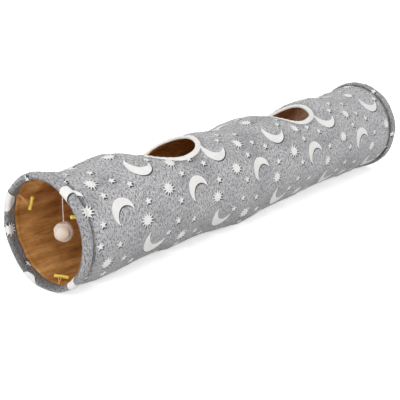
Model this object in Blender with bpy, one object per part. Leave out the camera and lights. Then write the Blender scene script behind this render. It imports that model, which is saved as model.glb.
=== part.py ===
# Cat tunnel: a plush tube held open by a spring-steel spiral, with two peepholes,
# two hanging ball toys, and toggles that hold it flat when it is pushed together.
# Metres, +Z up. The tunnel lies along X with its front mouth at -X.
# The origin is on the floor, under the middle of the tunnel.
import math

import bpy
from mathutils import Vector

for old in list(bpy.data.objects):
    bpy.data.objects.remove(old, do_unlink=True)

# Overall sizes
tunnel_length = 1.300
hoop_diameter = 0.260        # over the plush cuffs
flat_width = 0.040           # strip on which the cuffs rest
clearance = 0.0003           # between pieces that touch

# Cloth and film
plush_thickness = 0.0022
film_thickness = 0.0008
wall_depth = 0.0048          # room between the plush and the film for the wire
sleeve_thickness = 0.0006
sleeve_width = 0.012
sleeve_drop = 0.00075        # from the plush to the sleeve tape
binding_thickness = 0.0012
binding_width = 0.011
binding_gap = 0.0012

# Wire
spiral_wire_diameter = 0.002
spiral_turn_length = 0.260   # along the tunnel, for one turn
spiral_top_inset = 0.220     # from the front end to where the spiral first passes the top line
spiral_end_inset = 0.062     # from each end of the tunnel to the wire's tip
cap_length = 0.009
cap_nose_share = 0.33        # of the cap's length, ahead of the wire's tip
cap_wall = 0.0004
hoop_wire_diameter = 0.003
ferrule_length = 0.014
ferrule_wall = 0.0005

# Cuffs and the tube between them
cuff_depth = 0.026
cuff_nose = 0.0035
tucked_gap = 0.0025          # from the ferrule to the tucked edge of the cloth
seam_room = 0.005            # straight wall behind each cuff, where the loops come out
waist_depth = 0.0026         # how far the tube draws in behind each cuff
waist_length = 0.024
crown_length = 0.104         # from a cuff's edge to the tube's full size
sag_depth = 0.004            # how far the cloth draws in between two turns
sag_fade_length = 0.080
sag_end_share = 0.65         # of the way from the top to the floor, where the sag fades
sag_rest_share = 0.20        # further part of that way, over which it fades

# Peepholes
peephole_length = 0.150
peephole_width = 0.136
front_peephole_inset = 0.386 # from the nearer end to the hole's middle
rear_peephole_inset = 0.412
cutter_height = 0.060
sink_depth = 0.008           # how far the cloth slackens over the middle of each hole
sink_length = 0.140          # from the hole's middle to where it has its full size again
sink_degrees = 80.0          # and round the tube

# Ball toys
ball_diameter = 0.045
toy_cord_diameter = 0.0025
front_toy_inset = 0.060      # from the nearer end
rear_toy_inset = 0.270
front_toy_degrees = 0.0      # round from the top; the tab sits on the film's flat there
rear_toy_degrees = -25.0
rear_toy_shift = 0.003       # along the film's flat, away from its middle
ball_drop = 0.0105           # ball's middle, below the hoops' middle
tab_length = 0.010
tab_width = 0.003
tab_thickness = 0.002
tab_room = 0.0035            # between the film and the strap
tab_leg = 0.002
tab_gap = 0.0007             # from the film's wavy face to the tab's feet
ring_radius = 0.0032
ring_wire_radius = 0.0008
knot_radius = 0.0028

# Toggles and loops
toggle_length = 0.036
toggle_diameter = 0.008
toggle_end_bevel = 0.0018
loop_cord_diameter = 0.0025
strand_spacing = 0.006
hole_clearance = 0.0004
loop_drop = 0.029
bight_reach = 0.004
seam_gap = 0.0007            # from a loop's ends to the cuff's edge
seam_lift_share = 1.2        # of the cord's diameter, how far it comes in from the film
toggle_lead_shares = (1.1, 0.6)
far_toggle_degrees = -62.0   # places round the seam, from the top
near_toggle_degrees = 46.0
bottom_toggle_degrees = 175.0
rear_loop_turn_degrees = 18.0
far_bar = (0.0, 0.35, -0.94)
near_bar = (0.80, -0.60, 0.0)
bottom_run = (0.92, 0.39, 0.0)
far_drop_share = 0.62        # of a loop's drop
bottom_run_share = 0.75
loop_wide_share = 0.90       # of the strands' spacing
loop_waist_share = 0.60      # of the way from the seam to the loop's tip
loop_shoulder_share = 0.30
loop_narrow_share = 0.80

# Facets
section_count = 28
station_step = 0.065
binding_count = 48
wire_sides = 6
cap_sides = 10
rod_sides = 12
ring_count = 12
ball_rings = (16, 9)
knot_rings = (10, 6)
route_parts = 12
sharp_edge_degrees = 40.0
cord_points = 15
toggle_loop_points = 31
rear_loop_points = 22

hoop_radius = hoop_diameter / 2
flat_angle = math.asin(flat_width / 2 / hoop_radius)
axis_height = hoop_radius * math.cos(flat_angle)
end_x = tunnel_length / 2
cuff_edge_x = end_x - cuff_depth
spiral_first_top = spiral_top_inset - end_x
front_peephole_x = front_peephole_inset - end_x
rear_peephole_x = end_x - rear_peephole_inset
front_toy_x = front_toy_inset - end_x
rear_toy_x = end_x - rear_toy_inset


def smooth(share):
    share = min(max(share, 0.0), 1.0)
    return share * share * (3.0 - 2.0 * share)


def section_angles():
    """Angles round the tube from the top, with one wide facet that rests on the floor."""
    step = 2.0 * (math.pi - flat_angle) / (section_count - 1)
    first = flat_angle - math.pi
    return [first + step * i for i in range(section_count)]


def wrap_angle(angle):
    """The same angle, brought between -180 and 180 degrees."""
    return math.atan2(math.sin(angle), math.cos(angle))


angles = section_angles()


def flat_at(degrees):
    """Number of the flat between two section angles that an angle from the top meets."""
    return sum(angle <= math.radians(degrees) for angle in angles) - 1


def spot(x, angle, radius):
    """A point at an angle from the top, positive towards -Y."""
    return Vector((x, -radius * math.sin(angle), axis_height + radius * math.cos(angle)))


def flat_spot(x, angle, radius):
    """A point at an angle from the top, on the flat facet between two section angles."""
    turn = wrap_angle(angle)
    middle, half = math.pi if turn > 0.0 else -math.pi, flat_angle
    for low, high in zip(angles, angles[1:]):
        if low <= turn <= high:
            middle, half = (low + high) / 2, (high - low) / 2
    return spot(x, turn, radius * math.cos(half) / math.cos(turn - middle))


# The tube's outer surface
cuff_wall = plush_thickness
ferrule_radius = hoop_wire_diameter / 2 + clearance + ferrule_wall
cavity = 2.0 * (ferrule_radius + clearance)
tucked_radius = hoop_radius - cuff_wall - clearance
hoop_x = end_x - cuff_wall - clearance - ferrule_radius
hoop_ring_radius = hoop_radius - cuff_wall - cavity / 2
tucked_x = hoop_x - ferrule_radius - tucked_gap
cuff_inner_radius = hoop_radius - 2.0 * cuff_wall - cavity
straight_x = cuff_edge_x - seam_room


def base_radius(x):
    """Radius of the plush before it draws in between the turns."""
    inside = straight_x - abs(x)
    if inside <= 0.0:
        return tucked_radius
    if inside < waist_length:
        return tucked_radius - waist_depth * smooth(inside / waist_length)
    waist_radius = tucked_radius - waist_depth
    share = smooth((inside - waist_length) / (crown_length - waist_length))
    return waist_radius + (hoop_radius - waist_radius) * share


def sag(x, angle):
    """How far the plush draws in between two turns of the wire."""
    turn = (x - spiral_first_top) / spiral_turn_length - angle / (2.0 * math.pi)
    fade = smooth((straight_x - waist_length - abs(x)) / sag_fade_length)
    rests = smooth((abs(angle) / math.pi - sag_end_share) / sag_rest_share)
    return sag_depth * math.sin(math.pi * turn) ** 2 * fade * (1.0 - rests)


def sink(x, angle):
    """How far the plush drops round a peephole, where nothing pulls it tight."""
    across = smooth(1.0 - abs(angle) / math.radians(sink_degrees))
    middle = min((front_peephole_x, rear_peephole_x), key=lambda place: abs(x - place))
    return sink_depth * smooth(1.0 - abs(x - middle) / sink_length) * across


def stations():
    """Places along the tube where its section is set out."""
    outer = [tucked_x, straight_x, straight_x - waist_length / 2, straight_x - waist_length]
    middle_count = math.ceil(2.0 * outer[-1] / station_step)
    step = 2.0 * outer[-1] / middle_count
    middle = [-outer[-1] + step * i for i in range(1, middle_count)]
    return [-x for x in outer] + middle + outer[::-1]


station_list = stations()


def skin_radius(x, angle):
    """Radius of the plush's outer face, straight between two stations."""
    for near, far in zip(station_list, station_list[1:]):
        if x <= far:
            break
    share = min(max((x - near) / (far - near), 0.0), 1.0)
    near_radius = base_radius(near) - sag(near, angle) - sink(near, angle)
    far_radius = base_radius(far) - sag(far, angle) - sink(far, angle)
    return near_radius + (far_radius - near_radius) * share


def film_depth(x):
    """From the plush's outer face to the film's outer face."""
    tucked = cuff_inner_radius + cuff_wall + clearance + film_thickness
    edge_depth = tucked_radius - tucked
    full_depth = plush_thickness + wall_depth
    share = smooth((straight_x - abs(x)) / waist_length)
    return edge_depth + (full_depth - edge_depth) * share


def on_facets(x, y, depth):
    """A point at a depth under the plush's facets, at a place seen from above."""
    angle = math.atan2(-y, hoop_radius)
    for i in range(section_count - 1):
        low = spot(x, angles[i], skin_radius(x, angles[i]) - depth)
        high = spot(x, angles[i + 1], skin_radius(x, angles[i + 1]) - depth)
        if low.z < axis_height or high.z < axis_height:
            continue
        if high.y <= y <= low.y:
            return low.lerp(high, (y - low.y) / (high.y - low.y))
    return spot(x, angle, skin_radius(x, angle) - depth)


# Materials and mesh helpers
def material(name, colour, roughness, metallic=0.0):
    made = bpy.data.materials.new(name)
    made.use_nodes = True
    shader = made.node_tree.nodes["Principled BSDF"]
    shader.inputs["Base Color"].default_value = (*colour, 1.0)
    shader.inputs["Roughness"].default_value = roughness
    shader.inputs["Metallic"].default_value = metallic
    return made


plush_grey = (0.42, 0.42, 0.43)
film_brown = (0.30, 0.14, 0.04)
steel_grey = (0.62, 0.62, 0.63)
binding_white = (0.86, 0.84, 0.79)
ball_beige = (0.66, 0.56, 0.48)
toy_cord_pink = (0.80, 0.66, 0.62)
toggle_yellow = (0.88, 0.68, 0.10)
loop_tan = (0.66, 0.36, 0.12)
tape_white = (0.75, 0.73, 0.70)
soft_roughness = 0.95
film_roughness = 0.35
wire_roughness = 0.30
plastic_roughness = 0.45


def add_mesh(name, points, faces, colour, roughness, metallic=0.0):
    mesh = bpy.data.meshes.new(name)
    mesh.from_pydata([tuple(p) for p in points], [], faces)
    mesh.validate()
    piece = bpy.data.objects.new(name, mesh)
    bpy.context.scene.collection.objects.link(piece)
    mesh.materials.append(material(name, colour, roughness, metallic))
    mesh.shade_smooth()
    mesh.set_sharp_from_angle(angle=math.radians(sharp_edge_degrees))
    return piece


def loft(name, loops, colour, roughness, metallic=0.0, closed=True):
    """Skin equal loops of points, joined in a ring or capped at both ends."""
    size = len(loops[0])
    points = [p for loop in loops for p in loop]
    spans = len(loops) if closed else len(loops) - 1
    faces = []
    for i in range(spans):
        a = i * size
        b = (i + 1) % len(loops) * size
        for j in range(size):
            k = (j + 1) % size
            faces.append((a + j, a + k, b + k, b + j))
    if not closed:
        faces.append(tuple(reversed(range(size))))
        faces.append(tuple(range(len(points) - size, len(points))))
    piece = add_mesh(name, points, faces, colour, roughness, metallic)
    face_out(piece.data)
    return piece


def face_out(mesh):
    """Turn the faces over where the closed mesh is inside out."""
    mesh.calc_loop_triangles()
    volume = 0.0
    for triangle in mesh.loop_triangles:
        a, b, c = (mesh.vertices[i].co for i in triangle.vertices)
        volume += a.dot(b.cross(c))
    if volume < 0.0:
        mesh.flip_normals()


def turned(name, profile, colour, roughness, metallic=0.0):
    """Sweep a closed (x, radius) profile round the tunnel's section."""
    loops = [[spot(x, angle, radius) for x, radius in profile] for angle in angles]
    return loft(name, loops, colour, roughness, metallic)


def smooth_route(points, count):
    """Points evenly shared along a smooth curve through the given ones."""
    rows = [points[0]] + list(points) + [points[-1]]
    fine = []
    for p0, p1, p2, p3 in zip(rows, rows[1:], rows[2:], rows[3:]):
        for i in range(route_parts):
            t = i / route_parts
            fine.append((2.0 * p1 + (p2 - p0) * t
                         + (2.0 * p0 - 5.0 * p1 + 4.0 * p2 - p3) * t ** 2
                         + (3.0 * p1 - p0 - 3.0 * p2 + p3) * t ** 3) / 2.0)
    fine.append(points[-1])
    reach = [0.0]
    for a, b in zip(fine, fine[1:]):
        reach.append(reach[-1] + (b - a).length)
    route = []
    for i in range(count):
        target = reach[-1] * i / (count - 1)
        k = next((n for n in range(1, len(reach)) if reach[n] >= target), len(reach) - 1)
        share = (target - reach[k - 1]) / max(reach[k] - reach[k - 1], clearance * clearance)
        route.append(fine[k - 1].lerp(fine[k], min(share, 1.0)))
    return route


def tube(name, points, diameter, colour, roughness, metallic=0.0, resolution=2):
    """A round tube with closed ends along a row of points."""
    curve = bpy.data.curves.new(name, "CURVE")
    curve.dimensions = "3D"
    curve.bevel_depth = diameter / 2
    curve.bevel_resolution = resolution
    curve.use_fill_caps = True
    spline = curve.splines.new("POLY")
    spline.points.add(len(points) - 1)
    for target, point in zip(spline.points, points):
        target.co = (*point, 1.0)
    piece = bpy.data.objects.new(name, curve)
    bpy.context.scene.collection.objects.link(piece)
    curve.materials.append(material(name, colour, roughness, metallic))
    return piece


def round_loop(middle, across, up, radius, sides):
    """Points on a circle that lies across a direction."""
    turns = [2.0 * math.pi * i / sides for i in range(sides)]
    return [middle + (across * math.cos(t) + up * math.sin(t)) * radius for t in turns]


def frame_of(direction):
    """Two unit vectors square to a direction and to each other."""
    helper = Vector((0, 0, 1)) if abs(direction.z) < 0.9 else Vector((1, 0, 0))
    across = direction.cross(helper).normalized()
    return across, direction.cross(across).normalized()


def rod(name, rows, colour, roughness, metallic=0.0):
    """A straight turned piece: each row is a middle point and a radius."""
    across, up = frame_of((rows[-1][0] - rows[0][0]).normalized())
    loops = [round_loop(middle, across, up, radius, rod_sides) for middle, radius in rows]
    return loft(name, loops, colour, roughness, metallic, closed=False)


def cut(piece, cutter):
    """Take a hidden cutter's shape out of a piece."""
    cutter.hide_render = True
    cutter.display_type = "WIRE"
    modifier = piece.modifiers.new("cut_" + cutter.name, "BOOLEAN")
    modifier.operation = "DIFFERENCE"
    modifier.object = cutter


def pivot(name, place, parent=None):
    """An empty on a joint's axis that carries the pieces of one moving body."""
    empty = bpy.data.objects.new(name, None)
    empty.empty_display_size = ball_diameter
    bpy.context.scene.collection.objects.link(empty)
    empty.matrix_world.translation = place
    if parent:
        carry(parent, empty)
    return empty


def carry(parent, *pieces):
    """Parent pieces to an empty and keep their place."""
    bpy.context.view_layer.update()
    for piece in pieces:
        piece.parent = parent
        piece.matrix_parent_inverse = parent.matrix_world.inverted()


# Cloth tube
def tube_wall(name, depth_of, thickness, colour, roughness):
    """A wall of even thickness at a depth under the plush's outer face."""
    loops = []
    for angle in angles:
        outer = [(x, skin_radius(x, angle) - depth_of(x)) for x in station_list]
        inner = [(x, radius - thickness) for x, radius in reversed(outer)]
        loops.append([spot(x, angle, radius) for x, radius in outer + inner])
    return loft(name, loops, colour, roughness)


def peephole_cutter(name, x):
    """An upright oval prism through the top of the tube."""
    low = axis_height + hoop_radius - cutter_height
    high = low + 2.0 * cutter_height
    loops = []
    for z in (low, high):
        ring = []
        for i in range(binding_count):
            turn = 2.0 * math.pi * i / binding_count
            ring.append(Vector((x + peephole_length / 2 * math.cos(turn),
                                peephole_width / 2 * math.sin(turn), z)))
        loops.append(ring)
    cutter = loft(name, loops, plush_grey, soft_roughness, closed=False)
    return cutter


def peephole_binding(name, x):
    """A tape folded over the edge of the plush and the film."""
    wall = plush_thickness + wall_depth + film_thickness
    rows = [
        (binding_width, -binding_gap - binding_thickness),
        (-clearance - binding_thickness, -binding_gap - binding_thickness),
        (-clearance - binding_thickness, wall + clearance + binding_thickness),
        (binding_width, wall + clearance + binding_thickness),
        (binding_width, wall + clearance),
        (-clearance, wall + clearance),
        (-clearance, -binding_gap),
        (binding_width, -binding_gap),
    ]
    loops = []
    for i in range(binding_count):
        turn = 2.0 * math.pi * i / binding_count
        loop = []
        for outward, depth in rows:
            place_x = x + (peephole_length / 2 + outward) * math.cos(turn)
            place_y = (peephole_width / 2 + outward) * math.sin(turn)
            loop.append(on_facets(place_x, place_y, depth))
        loops.append(loop)
    return loft(name, loops, binding_white, soft_roughness)


def make_cloth_tube():
    shell = tube_wall("outer_shell", lambda x: 0.0, plush_thickness, plush_grey, soft_roughness)
    liner = tube_wall("inner_liner", film_depth, film_thickness, film_brown, film_roughness)
    for place, x in (("front", front_peephole_x), ("rear", rear_peephole_x)):
        cutter = peephole_cutter(place + "_peephole_cutter", x)
        cut(shell, cutter)
        cut(liner, cutter)
        peephole_binding(place + "_peephole_binding", x)


# Spiral
wire_depth = (plush_thickness + sleeve_drop + sleeve_thickness + clearance
              + spiral_wire_diameter / 2)


def spiral_turns():
    """The wire's angles, counted on through its turns, at the tube's own facets."""
    first = (spiral_end_inset - end_x - spiral_first_top) / spiral_turn_length * 2.0 * math.pi
    last = (end_x - spiral_end_inset - spiral_first_top) / spiral_turn_length * 2.0 * math.pi
    turns = []
    for lap in range(math.floor(first / (2.0 * math.pi)), math.ceil(last / (2.0 * math.pi)) + 1):
        for angle in angles:
            turn = angle + 2.0 * math.pi * lap
            if first <= turn <= last:
                turns.append(turn)
    return turns


def spiral_x(turn):
    return spiral_first_top + spiral_turn_length * turn / (2.0 * math.pi)


def spiral_point(turn, depth, along=0.0):
    x = spiral_x(turn) + along
    angle = wrap_angle(turn)
    return spot(x, angle, skin_radius(x, angle) - depth)


def least_gap(points, diameter, per_turn):
    """Smallest space between two turns of the wire."""
    gaps = []
    for i, point in enumerate(points):
        for other in points[i + per_turn // 2:]:
            gaps.append((other - point).length - diameter)
    return min(gaps)


def make_spiral():
    turns = spiral_turns()
    points = [spiral_point(turn, wire_depth) for turn in turns]
    tube("spiral_wire", points, spiral_wire_diameter, steel_grey, wire_roughness, 1.0, resolution=1)
    gap = least_gap(points, spiral_wire_diameter, section_count)
    print("spiral: %.1f turns, least gap to itself %.1f mm" % (len(points) / section_count, gap * 1000))
    top = plush_thickness + sleeve_drop
    half = sleeve_width / 2
    loops = []
    for turn in turns[2:-2]:
        loops.append([spiral_point(turn, top, -half), spiral_point(turn, top, half),
                      spiral_point(turn, top + sleeve_thickness, half),
                      spiral_point(turn, top + sleeve_thickness, -half)])
    loft("spiral_sleeve", loops, tape_white, soft_roughness, closed=False)
    for name, tip, before in (("front_wire_cap", points[0], points[1]),
                              ("rear_wire_cap", points[-1], points[-2])):
        make_wire_cap(name, tip, (tip - before).normalized())


def make_wire_cap(name, tip, outward):
    """A cap pushed over the wire's tip: a blind bore in a round-ended sleeve."""
    bore = spiral_wire_diameter / 2 + clearance
    outside = bore + cap_wall
    back = tip - outward * cap_length / 2
    floor = tip + outward * clearance
    front = floor + outward * cap_length * cap_nose_share
    rows = [(floor, bore), (back, bore), (back, outside), (front, outside),
            (front + outward * cap_wall, bore)]
    across, up = frame_of(outward)
    rings = [round_loop(middle, across, up, radius, cap_sides) for middle, radius in rows]
    loft(name, rings, tape_white, plastic_roughness, closed=False)


# Hoops and cuffs at both ends
def make_hoop(name, side):
    loops = []
    for i, angle in enumerate(angles):
        middle = spot(side * hoop_x, angle, hoop_ring_radius)
        outward = (spot(0.0, angle, hoop_ring_radius) - Vector((0, 0, axis_height))).normalized()
        loops.append(round_loop(middle, Vector((1, 0, 0)), outward, hoop_wire_diameter / 2, wire_sides))
    loft(name, loops, steel_grey, wire_roughness, 1.0)


def make_ferrule(name, side):
    """A crimped sleeve over the joint of the hoop's two ends, on one facet at the side."""
    index = section_count // 4
    a = spot(side * hoop_x, angles[index], hoop_ring_radius)
    b = spot(side * hoop_x, angles[index + 1], hoop_ring_radius)
    along = (b - a).normalized()
    middle = (a + b) / 2
    across, up = frame_of(along)
    bore = hoop_wire_diameter / 2 + clearance
    rings = []
    for radius, reach in ((bore, -1), (ferrule_radius, -1), (ferrule_radius, 1), (bore, 1)):
        rings.append(round_loop(middle + along * reach * ferrule_length / 2, across, up, radius, rod_sides))
    loft(name, rings, steel_grey, wire_roughness, 1.0)


def make_cuff(name, side):
    """The plush turned over the hoop, open towards the tube."""
    edge = cuff_edge_x
    inner = cuff_inner_radius
    profile = [
        (edge, hoop_radius), (end_x - cuff_nose, hoop_radius), (end_x, hoop_radius - cuff_nose),
        (end_x, inner + cuff_nose), (end_x - cuff_nose, inner), (edge, inner),
        (edge, inner + cuff_wall), (end_x - cuff_wall, inner + cuff_wall),
        (end_x - cuff_wall, hoop_radius - cuff_wall), (edge, hoop_radius - cuff_wall),
    ]
    turned(name, [(side * x, radius) for x, radius in profile], plush_grey, soft_roughness)


def make_end(place, side):
    make_hoop(place + "_hoop", side)
    make_ferrule(place + "_hoop_ferrule", side)
    make_cuff(place + "_cuff", side)


# Ball toys
def film_flat(x, index, shift):
    """Middle of a flat of the film's inner face, and the flat's directions."""
    depth = film_depth(x) + film_thickness
    a = spot(x, angles[index], skin_radius(x, angles[index]) - depth)
    b = spot(x, angles[index + 1], skin_radius(x, angles[index + 1]) - depth)
    along = (b - a).normalized()
    inward = Vector((1, 0, 0)).cross(along)
    if inward.z > 0.0:
        inward = -inward
    return (a + b) / 2 - along * shift, along, inward


def make_tab(name, middle, along, inward):
    """A strap sewn under the film, with room above it for the toy's ring."""
    feet = tab_gap
    under = feet + tab_room
    profile = [
        (-tab_length / 2, feet), (-tab_length / 2, under + tab_thickness),
        (tab_length / 2, under + tab_thickness), (tab_length / 2, feet),
        (tab_length / 2 - tab_leg, feet), (tab_length / 2 - tab_leg, under),
        (-tab_length / 2 + tab_leg, under), (-tab_length / 2 + tab_leg, feet),
    ]
    loops = []
    for side in (-1, 1):
        loops.append([middle + Vector((x, 0, 0)) + along * side * tab_width / 2 + inward * depth
                      for x, depth in profile])
    return loft(name, loops, binding_white, soft_roughness, closed=False)


def make_knot(name, strap_middle, knot_middle):
    """A cord ring round the strap and the knot under it, as one solid."""
    rings = []
    for i in range(ring_count):
        turn = 2.0 * math.pi * i / ring_count
        out = Vector((0, math.sin(turn), math.cos(turn)))
        rings.append(round_loop(strap_middle + out * ring_radius, Vector((1, 0, 0)), out,
                                ring_wire_radius, wire_sides))
    knot = loft(name, rings, toy_cord_pink, soft_roughness)
    ball = make_ball(name + "_body", knot_middle, knot_radius, toy_cord_pink, *knot_rings)
    union = knot.modifiers.new("knot", "BOOLEAN")
    union.operation = "UNION"
    union.object = ball
    ball.hide_render = True
    ball.display_type = "WIRE"
    return knot, ball


def make_ball(name, middle, radius, colour, around, up):
    """A round ball in rings, closed at both poles."""
    points = [middle + Vector((0, 0, radius))]
    for i in range(1, up):
        tilt = math.pi * i / up
        for j in range(around):
            turn = 2.0 * math.pi * j / around
            points.append(middle + Vector((math.sin(tilt) * math.cos(turn),
                                           math.sin(tilt) * math.sin(turn), math.cos(tilt))) * radius)
    points.append(middle - Vector((0, 0, radius)))
    last = len(points) - 1
    faces = []
    for j in range(around):
        k = (j + 1) % around
        faces.append((0, 1 + j, 1 + k))
        for i in range(up - 2):
            a = 1 + i * around
            faces.append((a + j, a + around + j, a + around + k, a + k))
        b = 1 + (up - 2) * around
        faces.append((b + j, last, b + k))
    ball = add_mesh(name, points, faces, colour, soft_roughness)
    face_out(ball.data)
    return ball


def make_toy(place, x, index, shift, carrier=None):
    """Tab, knot, cord and ball. The knot swings across, the cord swings along."""
    middle, along, inward = film_flat(x, index, shift)
    tab = make_tab(place + "_toy_tab", middle, along, inward)
    strap = middle + inward * (tab_gap + tab_room + tab_thickness / 2)
    knot_middle = strap - Vector((0, 0, ring_radius + knot_radius / 2))
    knot, knot_body = make_knot(place + "_toy_knot", strap, knot_middle)
    ball_middle = Vector((strap.x, strap.y, axis_height - ball_drop))
    top = knot_middle - Vector((0, 0, knot_radius + clearance))
    bottom = ball_middle + Vector((0, 0, ball_diameter / 2 + clearance))
    route = [top.lerp(bottom, i / (cord_points - 1)) for i in range(cord_points)]
    cord = tube(place + "_toy_cord", route, toy_cord_diameter, toy_cord_pink, soft_roughness)
    ball = make_ball(place + "_toy_ball", ball_middle, ball_diameter / 2, ball_beige, *ball_rings)
    if carrier:
        carry(carrier, tab)
    swing = pivot(place + "_toy_swing", strap, carrier)
    carry(swing, knot, knot_body)
    hang = pivot(place + "_toy_hang", knot_middle, swing)
    carry(hang, cord, ball)
    for label, place_of in (("swing", strap), ("hang", knot_middle), ("ball", ball_middle)):
        print(place, "toy", label, tuple(round(v, 5) for v in place_of))


# Toggles and loops
def seam_point(x, angle):
    """Where a loop comes out of the seam at the cuff's inner edge."""
    return flat_spot(x, angle, cuff_inner_radius + cuff_wall / 2 - clearance)


def leave_seam(start, angle, side):
    """First points of a strand: square out of the cuff's edge, then in from the film."""
    straight = Vector((-side * loop_cord_diameter, 0, 0))
    return [start, start + straight / 2, start + straight,
            start + straight * 2.0 + inward_of(angle) * loop_cord_diameter * seam_lift_share]


def bend_point(start, angle, side):
    """Where a loop bends as it is lifted: just out of the seam, on the cord's inner side."""
    return start + Vector((-side * loop_cord_diameter, 0, 0)) + inward_of(angle) * loop_cord_diameter / 2


def print_hinge(name, place, axis):
    print(name, "hinge", tuple(round(v, 5) for v in place), "axis", tuple(round(v, 4) for v in axis))


def strand_path(start, angle, middle, through, spread):
    """Half of a loop: out of the seam, down to the toggle and through it."""
    near = [middle - through * toggle_diameter * share + spread for share in toggle_lead_shares]
    along = along_wall(angle)
    seam_spread = along * math.copysign(strand_spacing / 2, along.dot(spread))
    out = [point + seam_spread for point in leave_seam(start, angle, -1)]
    return out + near + [middle + spread, middle + through * bight_reach + spread]


def loop_route(start, angle, middle, through, bar):
    """A U of cord: out along one strand, round the bight and back along the other."""
    spread = bar * strand_spacing / 2
    out = strand_path(start, angle, middle, through, spread)
    back = strand_path(start, angle, middle, through, -spread)
    tip = middle + through * (bight_reach + strand_spacing / 2)
    corner = strand_spacing / 2 * math.sqrt(0.5)
    bight_middle = middle + through * bight_reach
    bend = [bight_middle + (bar + through) * corner, tip, bight_middle + (through - bar) * corner]
    return out + bend + back[::-1]


def make_toggle(name, angle, middle, bar, through, hinge):
    """A two-hole bar on a loop of cord that comes out of the front cuff's seam."""
    start = seam_point(-cuff_edge_x + seam_gap, angle)
    route = smooth_route(loop_route(start, angle, middle, through, bar), toggle_loop_points)
    cord = tube(name + "_cord", route, loop_cord_diameter, loop_tan, soft_roughness)
    half = bar * toggle_length / 2
    corner = bar * toggle_end_bevel
    radius = toggle_diameter / 2
    rows = [(middle - half, radius - toggle_end_bevel), (middle - half + corner, radius),
            (middle + half - corner, radius), (middle + half, radius - toggle_end_bevel)]
    piece = rod(name, rows, toggle_yellow, plastic_roughness)
    for side, label in ((-1, "a"), (1, "b")):
        at = middle + bar * side * strand_spacing / 2
        reach = through * toggle_diameter
        hole = loop_cord_diameter / 2 + hole_clearance
        cut(piece, rod(name + "_bore_" + label, [(at - reach, hole), (at + reach, hole)],
                       toggle_yellow, plastic_roughness))
    place = bend_point(start, angle, -1)
    carrier = pivot(name + "_hinge", place)
    parts = [p for p in bpy.data.objects if p.name.startswith(name + "_bore")]
    carry(carrier, cord, piece, *parts)
    print_hinge(name, place, hinge)


def inward_of(angle):
    """Unit vector from the wall towards the tunnel's axis."""
    return Vector((0, math.sin(angle), -math.cos(angle)))


def along_wall(angle):
    """Unit vector along the wall, round the tunnel."""
    return Vector((0, math.cos(angle), math.sin(angle)))


def make_rear_loop(name, angle, tip, spread, carrier):
    """A loop of cord from the rear cuff's seam that takes a toggle."""
    start = seam_point(cuff_edge_x - seam_gap, angle)
    side = along_wall(angle) * math.copysign(strand_spacing / 2, along_wall(angle).dot(spread))
    wide = spread * strand_spacing * loop_wide_share
    narrow = wide * loop_narrow_share
    waist = start.lerp(tip, loop_waist_share) + inward_of(angle) * loop_cord_diameter
    shoulder = tip.lerp(waist, loop_shoulder_share)
    out = [point + side for point in leave_seam(start, angle, 1)]
    back = [point - side for point in leave_seam(start, angle, 1)]
    points = out + [waist + wide, shoulder + narrow, tip, shoulder - narrow, waist - wide]
    points += back[::-1]
    cord = tube(name, smooth_route(points, rear_loop_points), loop_cord_diameter, loop_tan, soft_roughness)
    place = bend_point(start, angle, 1)
    carry(pivot(name + "_hinge", place, carrier), cord)
    print_hinge(name, place, -along_wall(angle))


def make_fastenings(rear_end):
    """Toggles at the front, each with its loop at the rear, about a third of the way round apart."""
    along_x = Vector((1, 0, 0))
    far_angle, near_angle = math.radians(far_toggle_degrees), math.radians(near_toggle_degrees)
    start = seam_point(-cuff_edge_x, far_angle)
    bar = Vector(far_bar).normalized()
    through = (along_x - bar * along_x.dot(bar)).normalized()
    middle = start + Vector((loop_drop, 0, -loop_drop * far_drop_share))
    middle += inward_of(far_angle) * toggle_diameter
    make_toggle("far_toggle", far_angle, middle, bar, through, along_x)

    middle = seam_point(-cuff_edge_x, near_angle) - Vector((0, 0, loop_drop + bight_reach / 2))
    make_toggle("near_toggle", near_angle, middle, Vector(near_bar).normalized(), Vector((0, 0, -1)),
                along_x)

    low_angle = math.radians(bottom_toggle_degrees)
    through = Vector(bottom_run).normalized()
    bar = Vector((through.y, -through.x, 0))
    middle = seam_point(-cuff_edge_x, low_angle) + through * loop_drop * bottom_run_share
    inmost_x = middle.x + toggle_length / 2 * abs(bar.x) + toggle_diameter / 2
    film_radius = skin_radius(inmost_x, math.pi) - film_depth(inmost_x) - film_thickness
    film_low = axis_height - film_radius * math.cos(flat_angle)
    middle.z = film_low + toggle_diameter / 2 + 2.0 * clearance
    make_toggle("bottom_toggle", low_angle, middle, bar, through, bar)

    offset = math.radians(rear_loop_turn_degrees)
    for name, angle in (("far_rear_loop", far_angle + offset), ("near_rear_loop", near_angle + offset)):
        tip = seam_point(cuff_edge_x, angle) + Vector((-loop_drop / 3, 0, -loop_drop))
        make_rear_loop(name, angle, tip, along_x, rear_end)
    angle = offset - math.pi
    tip = seam_point(cuff_edge_x, angle) - along_x * loop_drop
    tip += inward_of(angle) * (wall_depth + 2.0 * waist_depth)
    make_rear_loop("bottom_rear_loop", angle, tip, along_wall(angle), rear_end)


make_cloth_tube()
make_spiral()
make_end("front", -1)
make_end("rear", 1)
rear_end_pivot = pivot("rear_end", Vector((end_x, 0, axis_height)))
carry(rear_end_pivot, *(bpy.data.objects[n] for n in ("rear_hoop", "rear_hoop_ferrule", "rear_cuff",
                                                     "rear_wire_cap")))
make_toy("front", front_toy_x, flat_at(front_toy_degrees), 0.0)
rear_toy_pivot = pivot("rear_toy_slider", Vector((rear_toy_x, 0, axis_height)))
make_toy("rear", rear_toy_x, flat_at(rear_toy_degrees), rear_toy_shift, rear_toy_pivot)
make_fastenings(rear_end_pivot)
print("axis height %.5f, cuff edge %.5f, cuff inner radius %.5f" % (axis_height, cuff_edge_x,
                                                                    cuff_inner_radius))
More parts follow.
